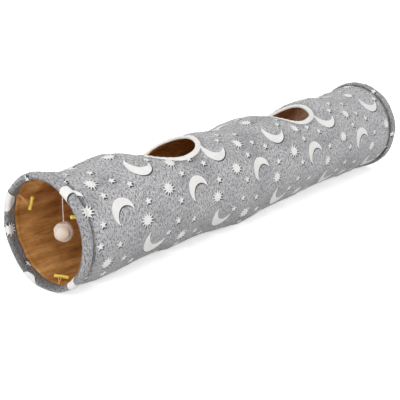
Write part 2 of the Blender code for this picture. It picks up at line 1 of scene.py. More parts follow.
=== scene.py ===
# Plush cat tunnel: cloth, lining, print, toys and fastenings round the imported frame
import math

import bmesh
import bpy
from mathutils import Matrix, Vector, noise


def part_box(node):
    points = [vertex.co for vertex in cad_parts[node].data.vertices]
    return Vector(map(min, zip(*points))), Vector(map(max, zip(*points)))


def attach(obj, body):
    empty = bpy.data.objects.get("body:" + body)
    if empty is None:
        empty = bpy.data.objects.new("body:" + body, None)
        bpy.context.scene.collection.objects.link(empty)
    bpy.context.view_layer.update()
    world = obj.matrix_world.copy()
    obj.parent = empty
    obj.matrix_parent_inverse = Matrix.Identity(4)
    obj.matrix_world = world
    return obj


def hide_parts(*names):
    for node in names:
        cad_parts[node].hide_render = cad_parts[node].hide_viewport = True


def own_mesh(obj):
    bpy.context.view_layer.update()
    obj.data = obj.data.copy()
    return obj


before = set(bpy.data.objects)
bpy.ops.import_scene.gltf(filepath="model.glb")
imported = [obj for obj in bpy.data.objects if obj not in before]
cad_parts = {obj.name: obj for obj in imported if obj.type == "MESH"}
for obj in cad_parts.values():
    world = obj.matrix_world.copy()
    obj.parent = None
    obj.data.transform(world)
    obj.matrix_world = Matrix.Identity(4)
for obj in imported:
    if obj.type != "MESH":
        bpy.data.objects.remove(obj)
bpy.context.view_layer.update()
print("frame loaded:", len(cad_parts), "nodes")

# the photograph's view
cameraView = {"azimuth": -50.32, "elevation": 18.42, "roll": 0.31, "distance": 2.341,
              "target": (-0.1236, 0.0042, 0.0713), "focal": 914.7, "frame": 400, "sensor": 36.0}


def makeCamera(view):
    az, el = math.radians(view["azimuth"]), math.radians(view["elevation"])
    back = Vector((math.sin(az) * math.cos(el), -math.cos(az) * math.cos(el), math.sin(el)))
    data = bpy.data.cameras.new("photoCamera")
    data.sensor_width = view["sensor"]
    data.lens = view["focal"] * view["sensor"] / view["frame"]
    data.clip_end = 60.0
    camera = bpy.data.objects.new("photoCamera", data)
    bpy.context.scene.collection.objects.link(camera)
    turn = back.to_track_quat("Z", "Y").to_matrix()
    roll = math.radians(view["roll"])
    right, up = turn.col[0].copy(), turn.col[1].copy()
    turn.col[0] = right * math.cos(roll) + up * math.sin(roll)
    turn.col[1] = up * math.cos(roll) - right * math.sin(roll)
    camera.matrix_world = turn.to_4x4()
    camera.matrix_world.translation = Vector(view["target"]) + back * view["distance"]
    bpy.context.scene.camera = camera


makeCamera(cameraView)


# the cloth's shape
tunnel = {
    "end": 0.650, "radius": 0.130, "axisHeight": 0.12845, "cuffEdge": 0.624, "cuffInner": 0.1204,
    "tucked": 0.1275, "clothEnd": 0.6385, "plush": 0.0022, "film": 0.0008, "filmDepth": 0.0070,
    "turnLength": 0.260, "firstTop": -0.430, "sag": 0.0035, "ridge": 0.0011, "ridgeWidth": 0.006,
    "dropRadius": 0.115, "groove": 0.0042, "grooveWidth": 0.005, "recover": 0.040, "endFade": 0.09,
    "slack": [(0.0010, 0.09, 0.06, 3.0), (0.0006, 0.022, 0.045, 9.0)],
}
bottomSwell = {"angle": 148.0, "width": 26.0, "base": -0.001,
               "rearFrom": 0.10, "rearFade": 0.15, "rearDepth": -0.0035,
               "lumps": [(-0.52, 0.10, 0.0045), (-0.385, 0.05, -0.0035), (-0.05, 0.13, 0.0095),
                         (0.43, 0.04, -0.002)]}
topSink = {"angle": -15.0, "width": 55.0, "base": 0.002, "sag": 0.006, "endFade": 0.050,
           "lumps": [(0.0, 0.20, 0.0065), (0.588, 0.036, 0.0130), (-0.578, 0.012, 0.005), (-0.52, 0.04, 0.003),
                     (-0.022, 0.018, 0.004), (0.49, 0.04, 0.006)]}
peepholes = {  # droop: where round the rim, how wide, how deep
    "front": {"x": -0.2585, "length": 0.161, "width": 0.136, "spread": 0.60,
              "droop": [(204.0, 26.0, 0.006), (127.0, 38.0, 0.027), (280.0, 39.0, -0.0035),
                        (99.0, 130.0, 0.009)]},
    "rear": {"x": 0.2395, "length": 0.152, "width": 0.136, "spread": 0.60,
             "droop": [(63.0, 89.0, 0.0145), (332.0, 30.0, 0.0065), (212.0, 72.0, 0.007),
                       (282.0, 25.0, -0.0025)]},
}
droopReach = {"side": 110.0, "sideFade": 40.0, "farthest": 3.0, "middle": 1.5}
cuffFlare = {"front": 0.0025, "rear": 0.0030, "length": 0.012, "inside": 0.5}


def smooth(share):
    share = min(max(share, 0.0), 1.0)
    return share * share * (3.0 - 2.0 * share)


def lump(value, middle, width):
    return math.exp(-((value - middle) / width) ** 2)


def lumpsAt(x, lumps):
    return sum(depth * lump(x, middle, width) for middle, width, depth in lumps)


def wrapDegrees(angle):
    return math.degrees(math.atan2(math.sin(angle), math.cos(angle)))


def ringAngles(count):
    return [-math.pi + 2.0 * math.pi * i / count for i in range(count)]


def clothNoise(x, angle, stretchX, stretchY, seed):
    ring = tunnel["radius"] / stretchY
    return noise.noise(Vector((x / stretchX + seed, math.cos(angle) * ring, math.sin(angle) * ring)))


def rimDroop(x, angle):  # slack cloth round each hole, deepest along its far rim
    top = smooth((droopReach["side"] - abs(wrapDegrees(angle))) / droopReach["sideFade"])
    droop = 0.0
    for hole in peepholes.values():
        along = 2.0 * (x - hole["x"]) / hole["length"]
        across = -2.0 * tunnel["dropRadius"] * math.sin(angle) / hole["width"]
        away = max(math.hypot(along, across) - 1.0, 0.0) / hole["spread"]
        if top > 0.0 and away < droopReach["farthest"]:
            where = math.degrees(math.atan2(across, along))
            depth = sum(deep * lump((where - middle + 180.0) % 360.0 - 180.0, 0.0, width)
                        for middle, width, deep in hole["droop"])
            droop += depth * math.exp(-away ** 2) * smooth(math.hypot(along, across) * droopReach["middle"])
    return droop * top


def grooveDepth(inside):  # where the plush is stitched down behind a cuff
    return tunnel["groove"] * lump(inside, tunnel["grooveWidth"], tunnel["grooveWidth"])


def skinRadius(x, angle):  # plush's outer face, measured from the tunnel's axis
    t = tunnel
    inside = t["cuffEdge"] - abs(x)
    degrees = wrapDegrees(angle)
    radius = t["tucked"] + (t["radius"] - t["tucked"]) * smooth(inside / t["recover"])
    radius -= grooveDepth(inside)
    ends = smooth(inside / t["endFade"])
    turn = (x - t["firstTop"]) / t["turnLength"] - angle / (2.0 * math.pi)
    radius -= t["sag"] * math.sin(math.pi * turn) ** 2 * ends
    radius += t["ridge"] * lump((turn - round(turn)) * t["turnLength"], 0.0, t["ridgeWidth"]) * ends
    swell = bottomSwell["base"]
    swell += bottomSwell["rearDepth"] * smooth((x - bottomSwell["rearFrom"]) / bottomSwell["rearFade"])
    swell += lumpsAt(x, bottomSwell["lumps"])
    radius += swell * lump(abs(degrees), bottomSwell["angle"], bottomSwell["width"]) * ends
    sink = topSink["base"] + lumpsAt(x, topSink["lumps"])
    sink += topSink["sag"] * math.sin(math.pi * turn) ** 2
    radius -= sink * lump(degrees, topSink["angle"], topSink["width"]) * smooth(inside / topSink["endFade"])
    radius -= rimDroop(x, angle)
    slack = sum(deep * clothNoise(x, angle, along, around, seed) for deep, along, around, seed in t["slack"])
    return radius + slack * ends


cuffPath = {"noseAxial": 0.0052, "noseRadial": 0.0066, "crown": 0.0010, "edgeDrop": 0.0026,
            "edgeLength": 0.007,
            "returnDrop": 0.0036, "returnLength": 0.014, "wavyEdge": 0.112, "wavyScale": 4.0,
            "start": 1e-6,  # just past the edge, where the cuff's own form begins
            "pucker": 0.0009, "puckerScale": 9.0, "puckerAlong": 60.0, "ripple": 0.0014, "rippleScale": 3.0,
            "flatShare": 0.96}


def cuffStraight():
    return tunnel["end"] - cuffPath["noseAxial"] - tunnel["cuffEdge"]


def cuffArc():
    return math.pi * math.hypot(cuffPath["noseAxial"], cuffPath["noseRadial"]) / math.sqrt(2.0)


def cuffLength():
    return 2.0 * cuffStraight() + cuffArc()


def cuffPoint(along):  # along the cuff's outer face, from its edge round the nose and back inside
    c = cuffPath
    straight, arc = cuffStraight(), cuffArc()
    noseX = tunnel["cuffEdge"] + straight
    middle = tunnel["radius"] - c["noseRadial"]
    if along < straight:
        drop = c["edgeDrop"] * (1.0 - smooth(along / c["edgeLength"]))
        crown = c["crown"] * math.sin(math.pi * along / straight)
        return tunnel["cuffEdge"] + along, tunnel["radius"] - drop + crown, 0.0, 1.0
    if along < straight + arc:
        turn = math.pi * (along - straight) / arc
        out = Vector((math.sin(turn) / c["noseAxial"], math.cos(turn) / c["noseRadial"])).normalized()
        return noseX + c["noseAxial"] * math.sin(turn), middle + c["noseRadial"] * math.cos(turn), out.x, out.y
    back = along - straight - arc
    radius = middle - c["noseRadial"] + c["returnDrop"] * smooth(back / c["returnLength"])
    return noseX - back, radius, 0.0, -1.0


def place(x, angle, radius, low=0.0):
    z = tunnel["axisHeight"] + radius * math.cos(angle)
    return Vector((x, -radius * math.sin(angle), max(z, low)))


def clothPoint(u, angle, lift):  # u runs along the cloth and on round each cuff
    past = abs(u) - tunnel["cuffEdge"]
    if past <= 0.0:
        return place(u, angle, skinRadius(u, angle) + lift, max(-lift, 0.0))
    x, radius, outX, outR = cuffPoint(min(past, cuffLength()))
    side = math.copysign(1.0, u)
    flare = cuffFlare["front" if side < 0 else "rear"] * smooth(past / cuffFlare["length"])
    if outR < 0.0:
        flare *= cuffFlare["inside"]
    radius += cuffRipple(past, angle, side) + flare * math.cos(math.radians(wrapDegrees(angle)) / 2.0)
    return place(side * (x + lift * outX), angle, radius + lift * outR)


def cuffRipple(past, angle, side):
    c = cuffPath
    ring = Vector((math.cos(angle), math.sin(angle), side * 3.0))
    pucker = c["pucker"] * noise.noise(ring * c["puckerScale"] + Vector((0, 0, past * c["puckerAlong"])))
    return pucker + c["ripple"] * noise.noise(ring * c["rippleScale"])


# mesh helpers
def linkPiece(name, mesh, material):
    piece = bpy.data.objects.new(name, mesh)
    bpy.context.scene.collection.objects.link(piece)
    mesh.materials.append(material)
    return piece


def newPiece(name, points, faces, material):
    mesh = bpy.data.meshes.new(name)
    mesh.from_pydata([tuple(p) for p in points], [], faces)
    mesh.validate()
    piece = linkPiece(name, mesh, material)
    mesh.shade_smooth()
    return piece


def closedPiece(name, points, faces, material):
    piece = newPiece(name, points, faces, material)
    work = bmesh.new()
    work.from_mesh(piece.data)
    bmesh.ops.recalc_face_normals(work, faces=work.faces)
    work.to_mesh(piece.data)
    work.free()
    return piece


def onlySelect(piece):
    bpy.ops.object.select_all(action="DESELECT")
    piece.select_set(True)
    bpy.context.view_layer.objects.active = piece


def addPrimitive(operator, name, **settings):
    bpy.ops.object.select_all(action="DESELECT")
    operator(**settings)
    piece = bpy.context.object
    piece.name = name
    return piece


def applyModifier(piece, kind, **settings):
    onlySelect(piece)
    modifier = piece.modifiers.new(kind.title(), kind)
    for key, value in settings.items():
        setattr(modifier, key, value)
    bpy.ops.object.modifier_apply(modifier=modifier.name)


def cutAway(piece, cutter):
    applyModifier(piece, "BOOLEAN", operation="DIFFERENCE", object=cutter, solver="EXACT")
    bpy.data.objects.remove(cutter)


def narrowRod(rod, shareAt, cuts=0):  # a share of its width at each height, after cuts across its long sides
    bpy.ops.object.mode_set(mode="EDIT")
    work = bmesh.from_edit_mesh(rod.data)
    if cuts:
        sides = [e for e in work.edges if abs(e.verts[0].co.z - e.verts[1].co.z) > rod.dimensions.z / 2]
        bmesh.ops.subdivide_edges(work, edges=sides, cuts=cuts, use_grid_fill=True)
    for vertex in work.verts:
        share = shareAt(vertex.co.z)
        vertex.co.x *= share
        vertex.co.y *= share
    bmesh.update_edit_mesh(rod.data)
    bpy.ops.object.mode_set(mode="OBJECT")


def placeRod(rod, middle, toward):  # turned from upright to point that way, with its place in its mesh
    rod.rotation_euler = toward.to_track_quat("Z", "Y").to_euler()
    rod.location = middle
    onlySelect(rod)
    bpy.ops.object.transform_apply(location=True, rotation=True, scale=True)


def coverWith(piece, material):
    piece.data.materials.clear()
    piece.data.materials.append(material)
    piece.data.shade_smooth()


def ringFaces(count, size, closedRows=True, closedRing=True):
    faces = []
    for i in range(count if closedRing else count - 1):
        a, b = i * size, (i + 1) % count * size
        for j in range(size if closedRows else size - 1):
            k = (j + 1) % size
            faces.append((a + j, a + k, b + k, b + j))
    return faces


def tubeFaces(count, size):  # a tube's walls and its two flat ends
    last = count * size
    ends = [tuple(reversed(range(size))), tuple(range(last - size, last))]
    return ringFaces(count, size, closedRing=False) + ends


def markCloth(piece, paintedLightAt, alongAt=None):  # its own map in metres, and where painted shade and painted light lie on it
    mesh = piece.data
    layer = mesh.uv_layers.new(name="clothUv")
    for polygon in mesh.polygons:
        turns = []
        for loop in polygon.loop_indices:
            point = mesh.vertices[mesh.loops[loop].vertex_index].co
            turns.append(math.atan2(-point.y, point.z - tunnel["axisHeight"]))
        wrap = max(turns) - min(turns) > math.pi
        for loop, turn in zip(polygon.loop_indices, turns):
            index = mesh.loops[loop].vertex_index
            turn += 2.0 * math.pi if wrap and turn < 0.0 else 0.0
            along = alongAt(index) if alongAt else mesh.vertices[index].co.x
            layer.data[loop].uv = (along, turn * tunnel["radius"])
    paintedLightAndShade = mesh.attributes.new("paintedLightAndShade", "FLOAT", "POINT")
    for vertex in mesh.vertices:
        paintedLightAndShade.data[vertex.index].value = paintedLightAt(vertex.co)


def squashAlong(piece):  # gives the piece a mesh of its own
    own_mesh(piece)


# materials
white = (1.0, 1.0, 1.0)


def grey(level):
    return (level, level, level)


def shaded(colour, share):
    return tuple(c * share for c in colour)


def startMaterial(name, colour, roughness):
    made = bpy.data.materials.new(name)
    made.use_nodes = True
    shader = made.node_tree.nodes["Principled BSDF"]
    shader.inputs["Base Color"].default_value = (*colour, 1.0)
    shader.inputs["Roughness"].default_value = roughness
    return made, made.node_tree, shader


def newNode(tree, kind, **sockets):
    made = tree.nodes.new("ShaderNode" + kind)
    for name, value in sockets.items():
        made.inputs[name].default_value = value
    return made


def mappedVector(tree, source, scale, turn=0.0):
    mapping = newNode(tree, "Mapping", Scale=scale, Rotation=(0.0, 0.0, math.radians(turn)))
    tree.links.new(source, mapping.inputs["Vector"])
    return mapping.outputs["Vector"]


def objectVector(tree, scale=(1.0, 1.0, 1.0)):
    return mappedVector(tree, newNode(tree, "TexCoord").outputs["Object"], scale)


def clothVector(tree, scale=(1.0, 1.0, 1.0), turn=0.0):
    where = newNode(tree, "UVMap")
    where.uv_map = "clothUv"
    return mappedVector(tree, where.outputs["UV"], scale, turn)


# reads the cloth's painted shade and painted light
def paintedLightNode(tree):
    made = newNode(tree, "Attribute")
    made.attribute_name = "paintedLightAndShade"
    return made.outputs["Fac"]


def noiseNode(tree, vector, scale, detail=3.0, rough=0.55):
    made = newNode(tree, "TexNoise", Scale=scale, Detail=detail, Roughness=rough)
    tree.links.new(vector, made.inputs["Vector"])
    return made.outputs["Fac"]


def rampNode(tree, factor, *stops):
    made = newNode(tree, "ValToRGB")
    ramp = made.color_ramp
    while len(ramp.elements) < len(stops):
        ramp.elements.new(0.5)
    for element, (position, colour) in zip(ramp.elements, stops):
        element.position = position
        element.color = (*colour, 1.0)
    tree.links.new(factor, made.inputs["Fac"])
    return made.outputs["Color"]


def mixNode(tree, factor, first, second, blend="MIX"):
    made = newNode(tree, "Mix")
    made.data_type = "RGBA"
    made.blend_type = blend
    for socket, value in ((made.inputs["Factor"], factor), (made.inputs[6], first), (made.inputs[7], second)):
        if isinstance(value, bpy.types.NodeSocket):
            tree.links.new(value, socket)
        elif isinstance(value, float):
            socket.default_value = value
        else:
            socket.default_value = (*value, 1.0)
    return made.outputs[2]


def bumpNode(tree, shader, *layers):  # layers of (height, strength, distance), broad ones first
    normal = None
    for height, strength, distance in layers:
        made = newNode(tree, "Bump", Strength=strength, Distance=distance)
        tree.links.new(height, made.inputs["Height"])
        if normal:
            tree.links.new(normal, made.inputs["Normal"])
        normal = made.outputs["Normal"]
    tree.links.new(normal, shader.inputs["Normal"])


plushLook = {"dark": (0.13, 0.13, 0.137), "mid": (0.475, 0.468, 0.480), "light": (0.74, 0.73, 0.745),
             "streak": 310.0, "streakStretch": (1.0, 0.42, 1.0), "streakTurn": 32.0, "sheen": 0.2,
             "fleck": 450.0, "fleckStretch": (0.45, 1.0, 1.0), "fleckTurn": -26.0, "sheenRoughness": 0.6,
             "fleckDark": (0.34, 0.34, 0.345), "cloud": 15.0, "cloudDark": (0.88, 0.88, 0.89),
             "paintedShadeDepth": 0.88}


def plushMaterial(name, look):
    made, tree, shader = startMaterial(name, look["mid"], 0.95)
    shader.inputs["Sheen Weight"].default_value = look["sheen"]
    shader.inputs["Sheen Roughness"].default_value = look["sheenRoughness"]
    streak = noiseNode(tree, clothVector(tree, look["streakStretch"], look["streakTurn"]), look["streak"])
    fleck = noiseNode(tree, clothVector(tree, look["fleckStretch"], look["fleckTurn"]), look["fleck"], 2.0)
    cloud = noiseNode(tree, clothVector(tree), look["cloud"], 2.0)
    base = rampNode(tree, streak, (0.34, look["dark"]), (0.46, look["mid"]), (0.64, look["light"]))
    spots = rampNode(tree, fleck, (0.34, look["fleckDark"]), (0.48, white), (0.9, white))
    clouds = rampNode(tree, cloud, (0.35, look["cloudDark"]), (0.65, white))
    # painted shade: the plush grows darker where the cloth's attribute marks shade
    wearAndShade = rampNode(tree, paintedLightNode(tree), (0.0, white), (1.0, grey(1.0 - look["paintedShadeDepth"])))
    mixed = mixNode(tree, 0.85, base, spots, "MULTIPLY")
    mixed = mixNode(tree, 0.9, mixed, clouds, "MULTIPLY")
    tree.links.new(mixNode(tree, 1.0, mixed, wearAndShade, "MULTIPLY"), shader.inputs["Base Color"])
    bumpNode(tree, shader, (streak, 0.6, 0.0020), (fleck, 0.4, 0.0010))
    return made


filmLook = {"dark": (0.36, 0.150, 0.040), "mid": (0.58, 0.285, 0.090), "light": (0.86, 0.50, 0.200),
            "crinkle": 34.0, "crinkleStretch": (0.30, 1.0, 1.0), "crinkleTurn": 7.0,
            "fine": 210.0, "fineStretch": (0.10, 1.0, 1.0), "fineTurn": -4.0, "fineDark": (0.72, 0.68, 0.62),
            # the lip colour is the lining as lit by daylight through the holes: painted light
            "lip": (0.95, 0.62, 0.32), "gloss": 0.14}


def filmMaterial(name, look):
    made, tree, shader = startMaterial(name, look["mid"], 0.34)
    shader.inputs["Specular IOR Level"].default_value = look["gloss"]
    vector = clothVector(tree, look["crinkleStretch"], look["crinkleTurn"])
    crinkle = noiseNode(tree, vector, look["crinkle"], 4.0, 0.6)
    fine = noiseNode(tree, clothVector(tree, look["fineStretch"], look["fineTurn"]), look["fine"])
    # partly random tone and partly painted light: the colour follows the crinkles that the bumps raise, lighter
    # on their ridges and darker in their hollows and fine creases
    base = rampNode(tree, crinkle, (0.30, look["dark"]), (0.5, look["mid"]), (0.72, look["light"]))
    lines = rampNode(tree, fine, (0.36, look["fineDark"]), (0.50, white), (0.9, white))
    sheet = mixNode(tree, 0.75, base, lines, "MULTIPLY")
    # painted light: the lining takes the lighter lip colour where daylight is painted on it
    tree.links.new(mixNode(tree, paintedLightNode(tree), sheet, look["lip"]), shader.inputs["Base Color"])
    tree.links.new(rampNode(tree, crinkle, (0.3, grey(0.26)), (0.7, grey(0.46))), shader.inputs["Roughness"])
    bumpNode(tree, shader, (crinkle, 0.8, 0.006), (fine, 0.5, 0.0020))
    return made


def weaveMaterial(name, colour, scale=900.0, roughness=0.85, depth=0.0006):
    made, tree, shader = startMaterial(name, colour, roughness)
    vector = objectVector(tree)
    thread = noiseNode(tree, vector, scale, 2.0)
    blotch = noiseNode(tree, vector, scale / 12.0, 2.0)
    low = shaded(colour, 0.84)
    mixed = mixNode(tree, 0.5, rampNode(tree, thread, (0.35, low), (0.6, colour)),
                    rampNode(tree, blotch, (0.3, low), (0.6, colour)))
    tree.links.new(mixed, shader.inputs["Base Color"])
    bumpNode(tree, shader, (thread, 0.5, depth))
    return made


def plasticMaterial(name, colour):
    made, tree, shader = startMaterial(name, colour, 0.38)
    wear = noiseNode(tree, objectVector(tree), 240.0)
    wearAndShade = rampNode(tree, wear, (0.3, shaded(colour, 0.88)), (0.7, colour))
    tree.links.new(wearAndShade, shader.inputs["Base Color"])
    bumpNode(tree, shader, (wear, 0.12, 0.0003))
    return made


def steelMaterial(name):
    made, tree, shader = startMaterial(name, (0.62, 0.62, 0.63), 0.30)
    shader.inputs["Metallic"].default_value = 1.0
    drawn = noiseNode(tree, objectVector(tree, (1.0, 12.0, 12.0)), 160.0, 2.0)
    tree.links.new(rampNode(tree, drawn, (0.3, grey(0.24)), (0.7, grey(0.42))), shader.inputs["Roughness"])
    bumpNode(tree, shader, (drawn, 0.1, 0.0002))
    return made


plush = plushMaterial("heatheredPlush", plushLook)
film = filmMaterial("crinkleFilm", filmLook)
# painted light: the lining's folded edge wears a lighter copy of the lining's colour, as if lit through the
# holes
litFilmLip = weaveMaterial("foldedFilmPaintedLight", (0.80, 0.50, 0.25), 160.0, 0.45, 0.0010)
printWhite = weaveMaterial("paleRaisedPrint", (0.90, 0.89, 0.87), 420.0, 0.9, 0.0010)
# painted shadow: near-black cloth laid under the print
printShadowPaint = weaveMaterial("paintedPrintShadow", (0.045, 0.045, 0.050), 420.0, 0.95, 0.0010)
tapeWhite = weaveMaterial("whiteTape", (0.90, 0.89, 0.86), 700.0)
ballPlush = weaveMaterial("beigeBallPlush", (0.93, 0.80, 0.69), 260.0, 0.95, 0.0012)
toyCordPink = weaveMaterial("pinkCord", (0.90, 0.76, 0.72), 900.0)
loopTan = weaveMaterial("tanCord", (0.80, 0.42, 0.17), 900.0)
toggleYellow = plasticMaterial("yellowPlastic", (0.93, 0.74, 0.12))
capGrey = plasticMaterial("capPlastic", (0.75, 0.73, 0.70))
steel = steelMaterial("springSteel")
print("materials made")


# cloth tube, lining and cuffs
shellMesh = {"rows": 236, "around": 168, "reach": tunnel["cuffEdge"] - 0.0006}
linerMesh = {"rows": 204, "around": 240, "reach": tunnel["clothEnd"]}
cuffMesh = {"rows": 40, "around": 180}
holeMargin = 0.004


def insideHole(x, y, margin):
    for hole in peepholes.values():
        a, b = hole["length"] / 2 + margin, hole["width"] / 2 + margin
        if ((x - hole["x"]) / a) ** 2 + (y / b) ** 2 < 1.0:
            return True
    return False


def overHole(point, margin):
    return point.z > tunnel["axisHeight"] and insideHole(point.x, point.y, margin)


def outwardness(face):  # over nought where the face looks away from the tunnel's axis
    middle = face.calc_center_median()
    return face.normal.dot(middle - Vector((middle.x, 0, tunnel["axisHeight"])))


def clothSheet(name, grid, pointAt, material, thickness):
    rows, reach = grid["rows"], grid["reach"]
    points = [pointAt(-reach + 2.0 * reach * j / rows, angle)
              for angle in ringAngles(grid["around"]) for j in range(rows + 1)]
    faces = [face for face in ringFaces(grid["around"], rows + 1, closedRows=False)
             if not overHole(sum((points[k] for k in face), Vector()) / 4.0, holeMargin)]
    piece = newPiece(name, points, faces, material)
    work = bmesh.new()
    work.from_mesh(piece.data)
    bmesh.ops.delete(work, geom=[v for v in work.verts if not v.link_faces], context="VERTS")
    bmesh.ops.recalc_face_normals(work, faces=work.faces)
    if sum(outwardness(face) for face in work.faces) < 0.0:
        bmesh.ops.reverse_faces(work, faces=work.faces)
    work.to_mesh(piece.data)
    work.free()
    applyModifier(piece, "SOLIDIFY", thickness=thickness, offset=-1.0, use_even_offset=False)
    piece.data.shade_smooth()
    return piece


lining = {"edge": 0.0034, "gap": 0.0003, "overPlush": 0.0004, "tuck": 0.004, "tuckFade": 0.070,
          "waves": [(0.0022, 0.10, 9.0, 0.0), (0.0016, 0.11, 15.0, 5.0)], "waveFade": 0.03,
          "riseFrom": 0.004, "riseWidth": 0.011, "riseSide": 75.0,
          "light": 0.85, "lightFrom": 0.007, "lightWidth": 0.014}


def filmWave(x, angle):
    up, side = math.cos(angle), math.sin(angle)
    wave = sum(deep * noise.noise(Vector((x / along + seed, up * around, side * around)))
               for deep, along, around, seed in lining["waves"])
    return wave * smooth((tunnel["cuffEdge"] - abs(x)) / lining["waveFade"])


def filmDepth(x):
    edge = tunnel["tucked"] - (tunnel["cuffInner"] + tunnel["plush"] + lining["gap"] + tunnel["film"])
    share = smooth((tunnel["cuffEdge"] + lining["tuck"] - abs(x)) / lining["tuckFade"])
    return edge + (tunnel["filmDepth"] - edge) * share


def besideHole(x, y):  # distance out from the nearest hole's edge
    return min((math.hypot(2.0 * (x - hole["x"]) / hole["length"], 2.0 * y / hole["width"]) - 1.0)
               * hole["width"] / 2.0 for hole in peepholes.values())


def filmPoint(x, angle):
    depth = filmDepth(x) + abs(filmWave(x, angle)) - grooveDepth(tunnel["cuffEdge"] - abs(x))
    depth = max(depth, tunnel["plush"] + lining["overPlush"])
    if abs(wrapDegrees(angle)) < lining["riseSide"]:  # the lining rises to meet the plush round each hole
        beside = besideHole(x, -tunnel["dropRadius"] * math.sin(angle))
        rise = smooth((beside - lining["riseFrom"]) / lining["riseWidth"])
        depth = lining["edge"] + (depth - lining["edge"]) * rise
    return place(x, angle, skinRadius(x, angle) - depth, depth)


def lipLight(point):  # daylight on the lining just inside each hole
    if point.z < tunnel["axisHeight"]:
        return 0.0
    beside = besideHole(point.x, point.y)
    return lining["light"] * (1.0 - smooth((beside - lining["lightFrom"]) / lining["lightWidth"]))


# how much painted shade the plush shell gets at each place
shellShadePaint = {"groove": 1.0, "grooveAt": 0.0015, "grooveWidth": 0.0055, "rearGroove": 0.36,
             "rearWidth": 0.0080, "rim": 0.30,
             "rimAt": 0.013, "rimWidth": 0.006, "forward": 0.10, "forwardTo": 0.5,
             "fold": 0.35, "foldAlong": 0.07, "foldAround": 0.05, "foldSeed": 21.0,
             "under": 0.20, "underFrom": 85.0, "underFade": 50.0}
# how much painted shade the cuffs get
cuffShadePaint = {"front": 0.30, "frontUnder": 0.12, "rear": 0.32, "edge": 0.55, "edgeWidth": 0.003,
            "inside": 0.36, "insideFrom": 0.0045, "insideFade": 0.003}


def shellPaintedShadeAt(point):  # painted shade: at the stitched ends, beside the holes, towards the front, in folds and underneath
    w = shellShadePaint
    inside = tunnel["cuffEdge"] - abs(point.x)
    if point.x < 0.0:
        dark = w["groove"] * lump(inside, w["grooveAt"], w["grooveWidth"])
    else:
        dark = w["rearGroove"] * lump(inside, w["grooveAt"], w["rearWidth"])
    if point.z > tunnel["axisHeight"]:
        dark += w["rim"] * lump(besideHole(point.x, point.y), w["rimAt"], w["rimWidth"])
    dark += w["forward"] * smooth(w["forwardTo"] - point.x)
    angle = math.atan2(-point.y, point.z - tunnel["axisHeight"])
    fold = clothNoise(point.x, angle, w["foldAlong"], w["foldAround"], w["foldSeed"])
    under = smooth((abs(wrapDegrees(angle)) - w["underFrom"]) / w["underFade"])
    return min(max(dark + w["fold"] * max(fold, 0.0) + w["under"] * under, 0.0), 1.0)


# painted shade on the cuffs: over each whole cuff, more under the front one, in the groove at its edge and on
# its inside
def cuffPaintedShadeAt(point):
    w = cuffShadePaint
    radius = math.hypot(point.y, point.z - tunnel["axisHeight"])
    inside = smooth((tunnel["radius"] - w["insideFrom"] - radius) / w["insideFade"])
    below = smooth((tunnel["axisHeight"] - point.z) / tunnel["radius"])
    wearAndShade = w["front"] + w["frontUnder"] * below if point.x < 0.0 else w["rear"]
    edge = lump(abs(point.x) - tunnel["cuffEdge"], 0.0, w["edgeWidth"])
    return min(wearAndShade + w["edge"] * edge + w["inside"] * inside, 1.0)


def makeCuff(side, name):
    rows, around = cuffMesh["rows"], cuffMesh["around"]
    edge, total = tunnel["cuffEdge"], cuffLength()
    points = []
    for angle in ringAngles(around):
        ring = Vector((math.cos(angle), math.sin(angle), side)) * cuffPath["wavyScale"]
        reach = total * (1.0 - cuffPath["wavyEdge"] * abs(noise.noise(ring)))
        outer, inner = ([clothPoint(side * (edge + cuffPath["start"] + reach * j / rows), angle, lift)
                         for j in range(rows + 1)] for lift in (0.0, -tunnel["plush"]))
        points += outer + inner[::-1]
    size = 2 * (rows + 1)
    piece = closedPiece(name, points, ringFaces(around, size), plush)
    markCloth(piece, cuffPaintedShadeAt, lambda k: side * (edge + total / rows * min(k % size, size - 1 - k % size)))
    return piece


shell = clothSheet("plushShell", shellMesh, lambda x, angle: clothPoint(x, angle, 0.0), plush, tunnel["plush"])
liner = clothSheet("crinkleLiner", linerMesh, filmPoint, film, tunnel["film"])
markCloth(shell, shellPaintedShadeAt)
markCloth(liner, lipLight)
print("cloth tube and lining made")
frontCuff = makeCuff(-1.0, "frontCuff")
rearCuff = makeCuff(1.0, "rearCuff")
print("cuffs made")


# peephole bindings
bindingTape = {"count": 132, "pucker": 0.0005, "stitches": 31.0, "puckerScale": 4, "puckerFrom": 0.001,
               "path": [(0.0100, 0.0004), (0.0102, 0.0011), (0.0092, 0.0016), (0.0055, 0.0019),
                        (0.0018, 0.0019),
                        (-0.0004, 0.0014), (-0.0016, 0.0002), (-0.0020, -0.0014), (-0.0020, -0.0034),
                        (-0.0014, -0.0048), (0.0000, -0.0054), (0.0038, -0.0056), (0.0070, -0.0056),
                        (0.0070, -0.0049), (0.0038, -0.0048), (0.0006, -0.0046), (-0.0006, -0.0038),
                        (-0.0011, -0.0026), (-0.0011, -0.0010), (-0.0006, 0.0002), (0.0008, 0.0007),
                        (0.0055, 0.0008)]}


def planPoint(x, y, lift):  # a place on the upper cloth seen from above
    radius = tunnel["radius"]
    for _ in range(12):
        angle = math.asin(min(max(-y / radius, -0.98), 0.98))
        radius = (radius + skinRadius(x, angle)) / 2.0
    return place(x, angle, radius + lift)


def rimPoint(hole, turn, out, lift):  # beside a hole's edge, that far out and up
    x = hole["x"] + (hole["length"] / 2 + out) * math.cos(turn)
    y = (hole["width"] / 2 + out) * math.sin(turn)
    return planPoint(x, y, lift)


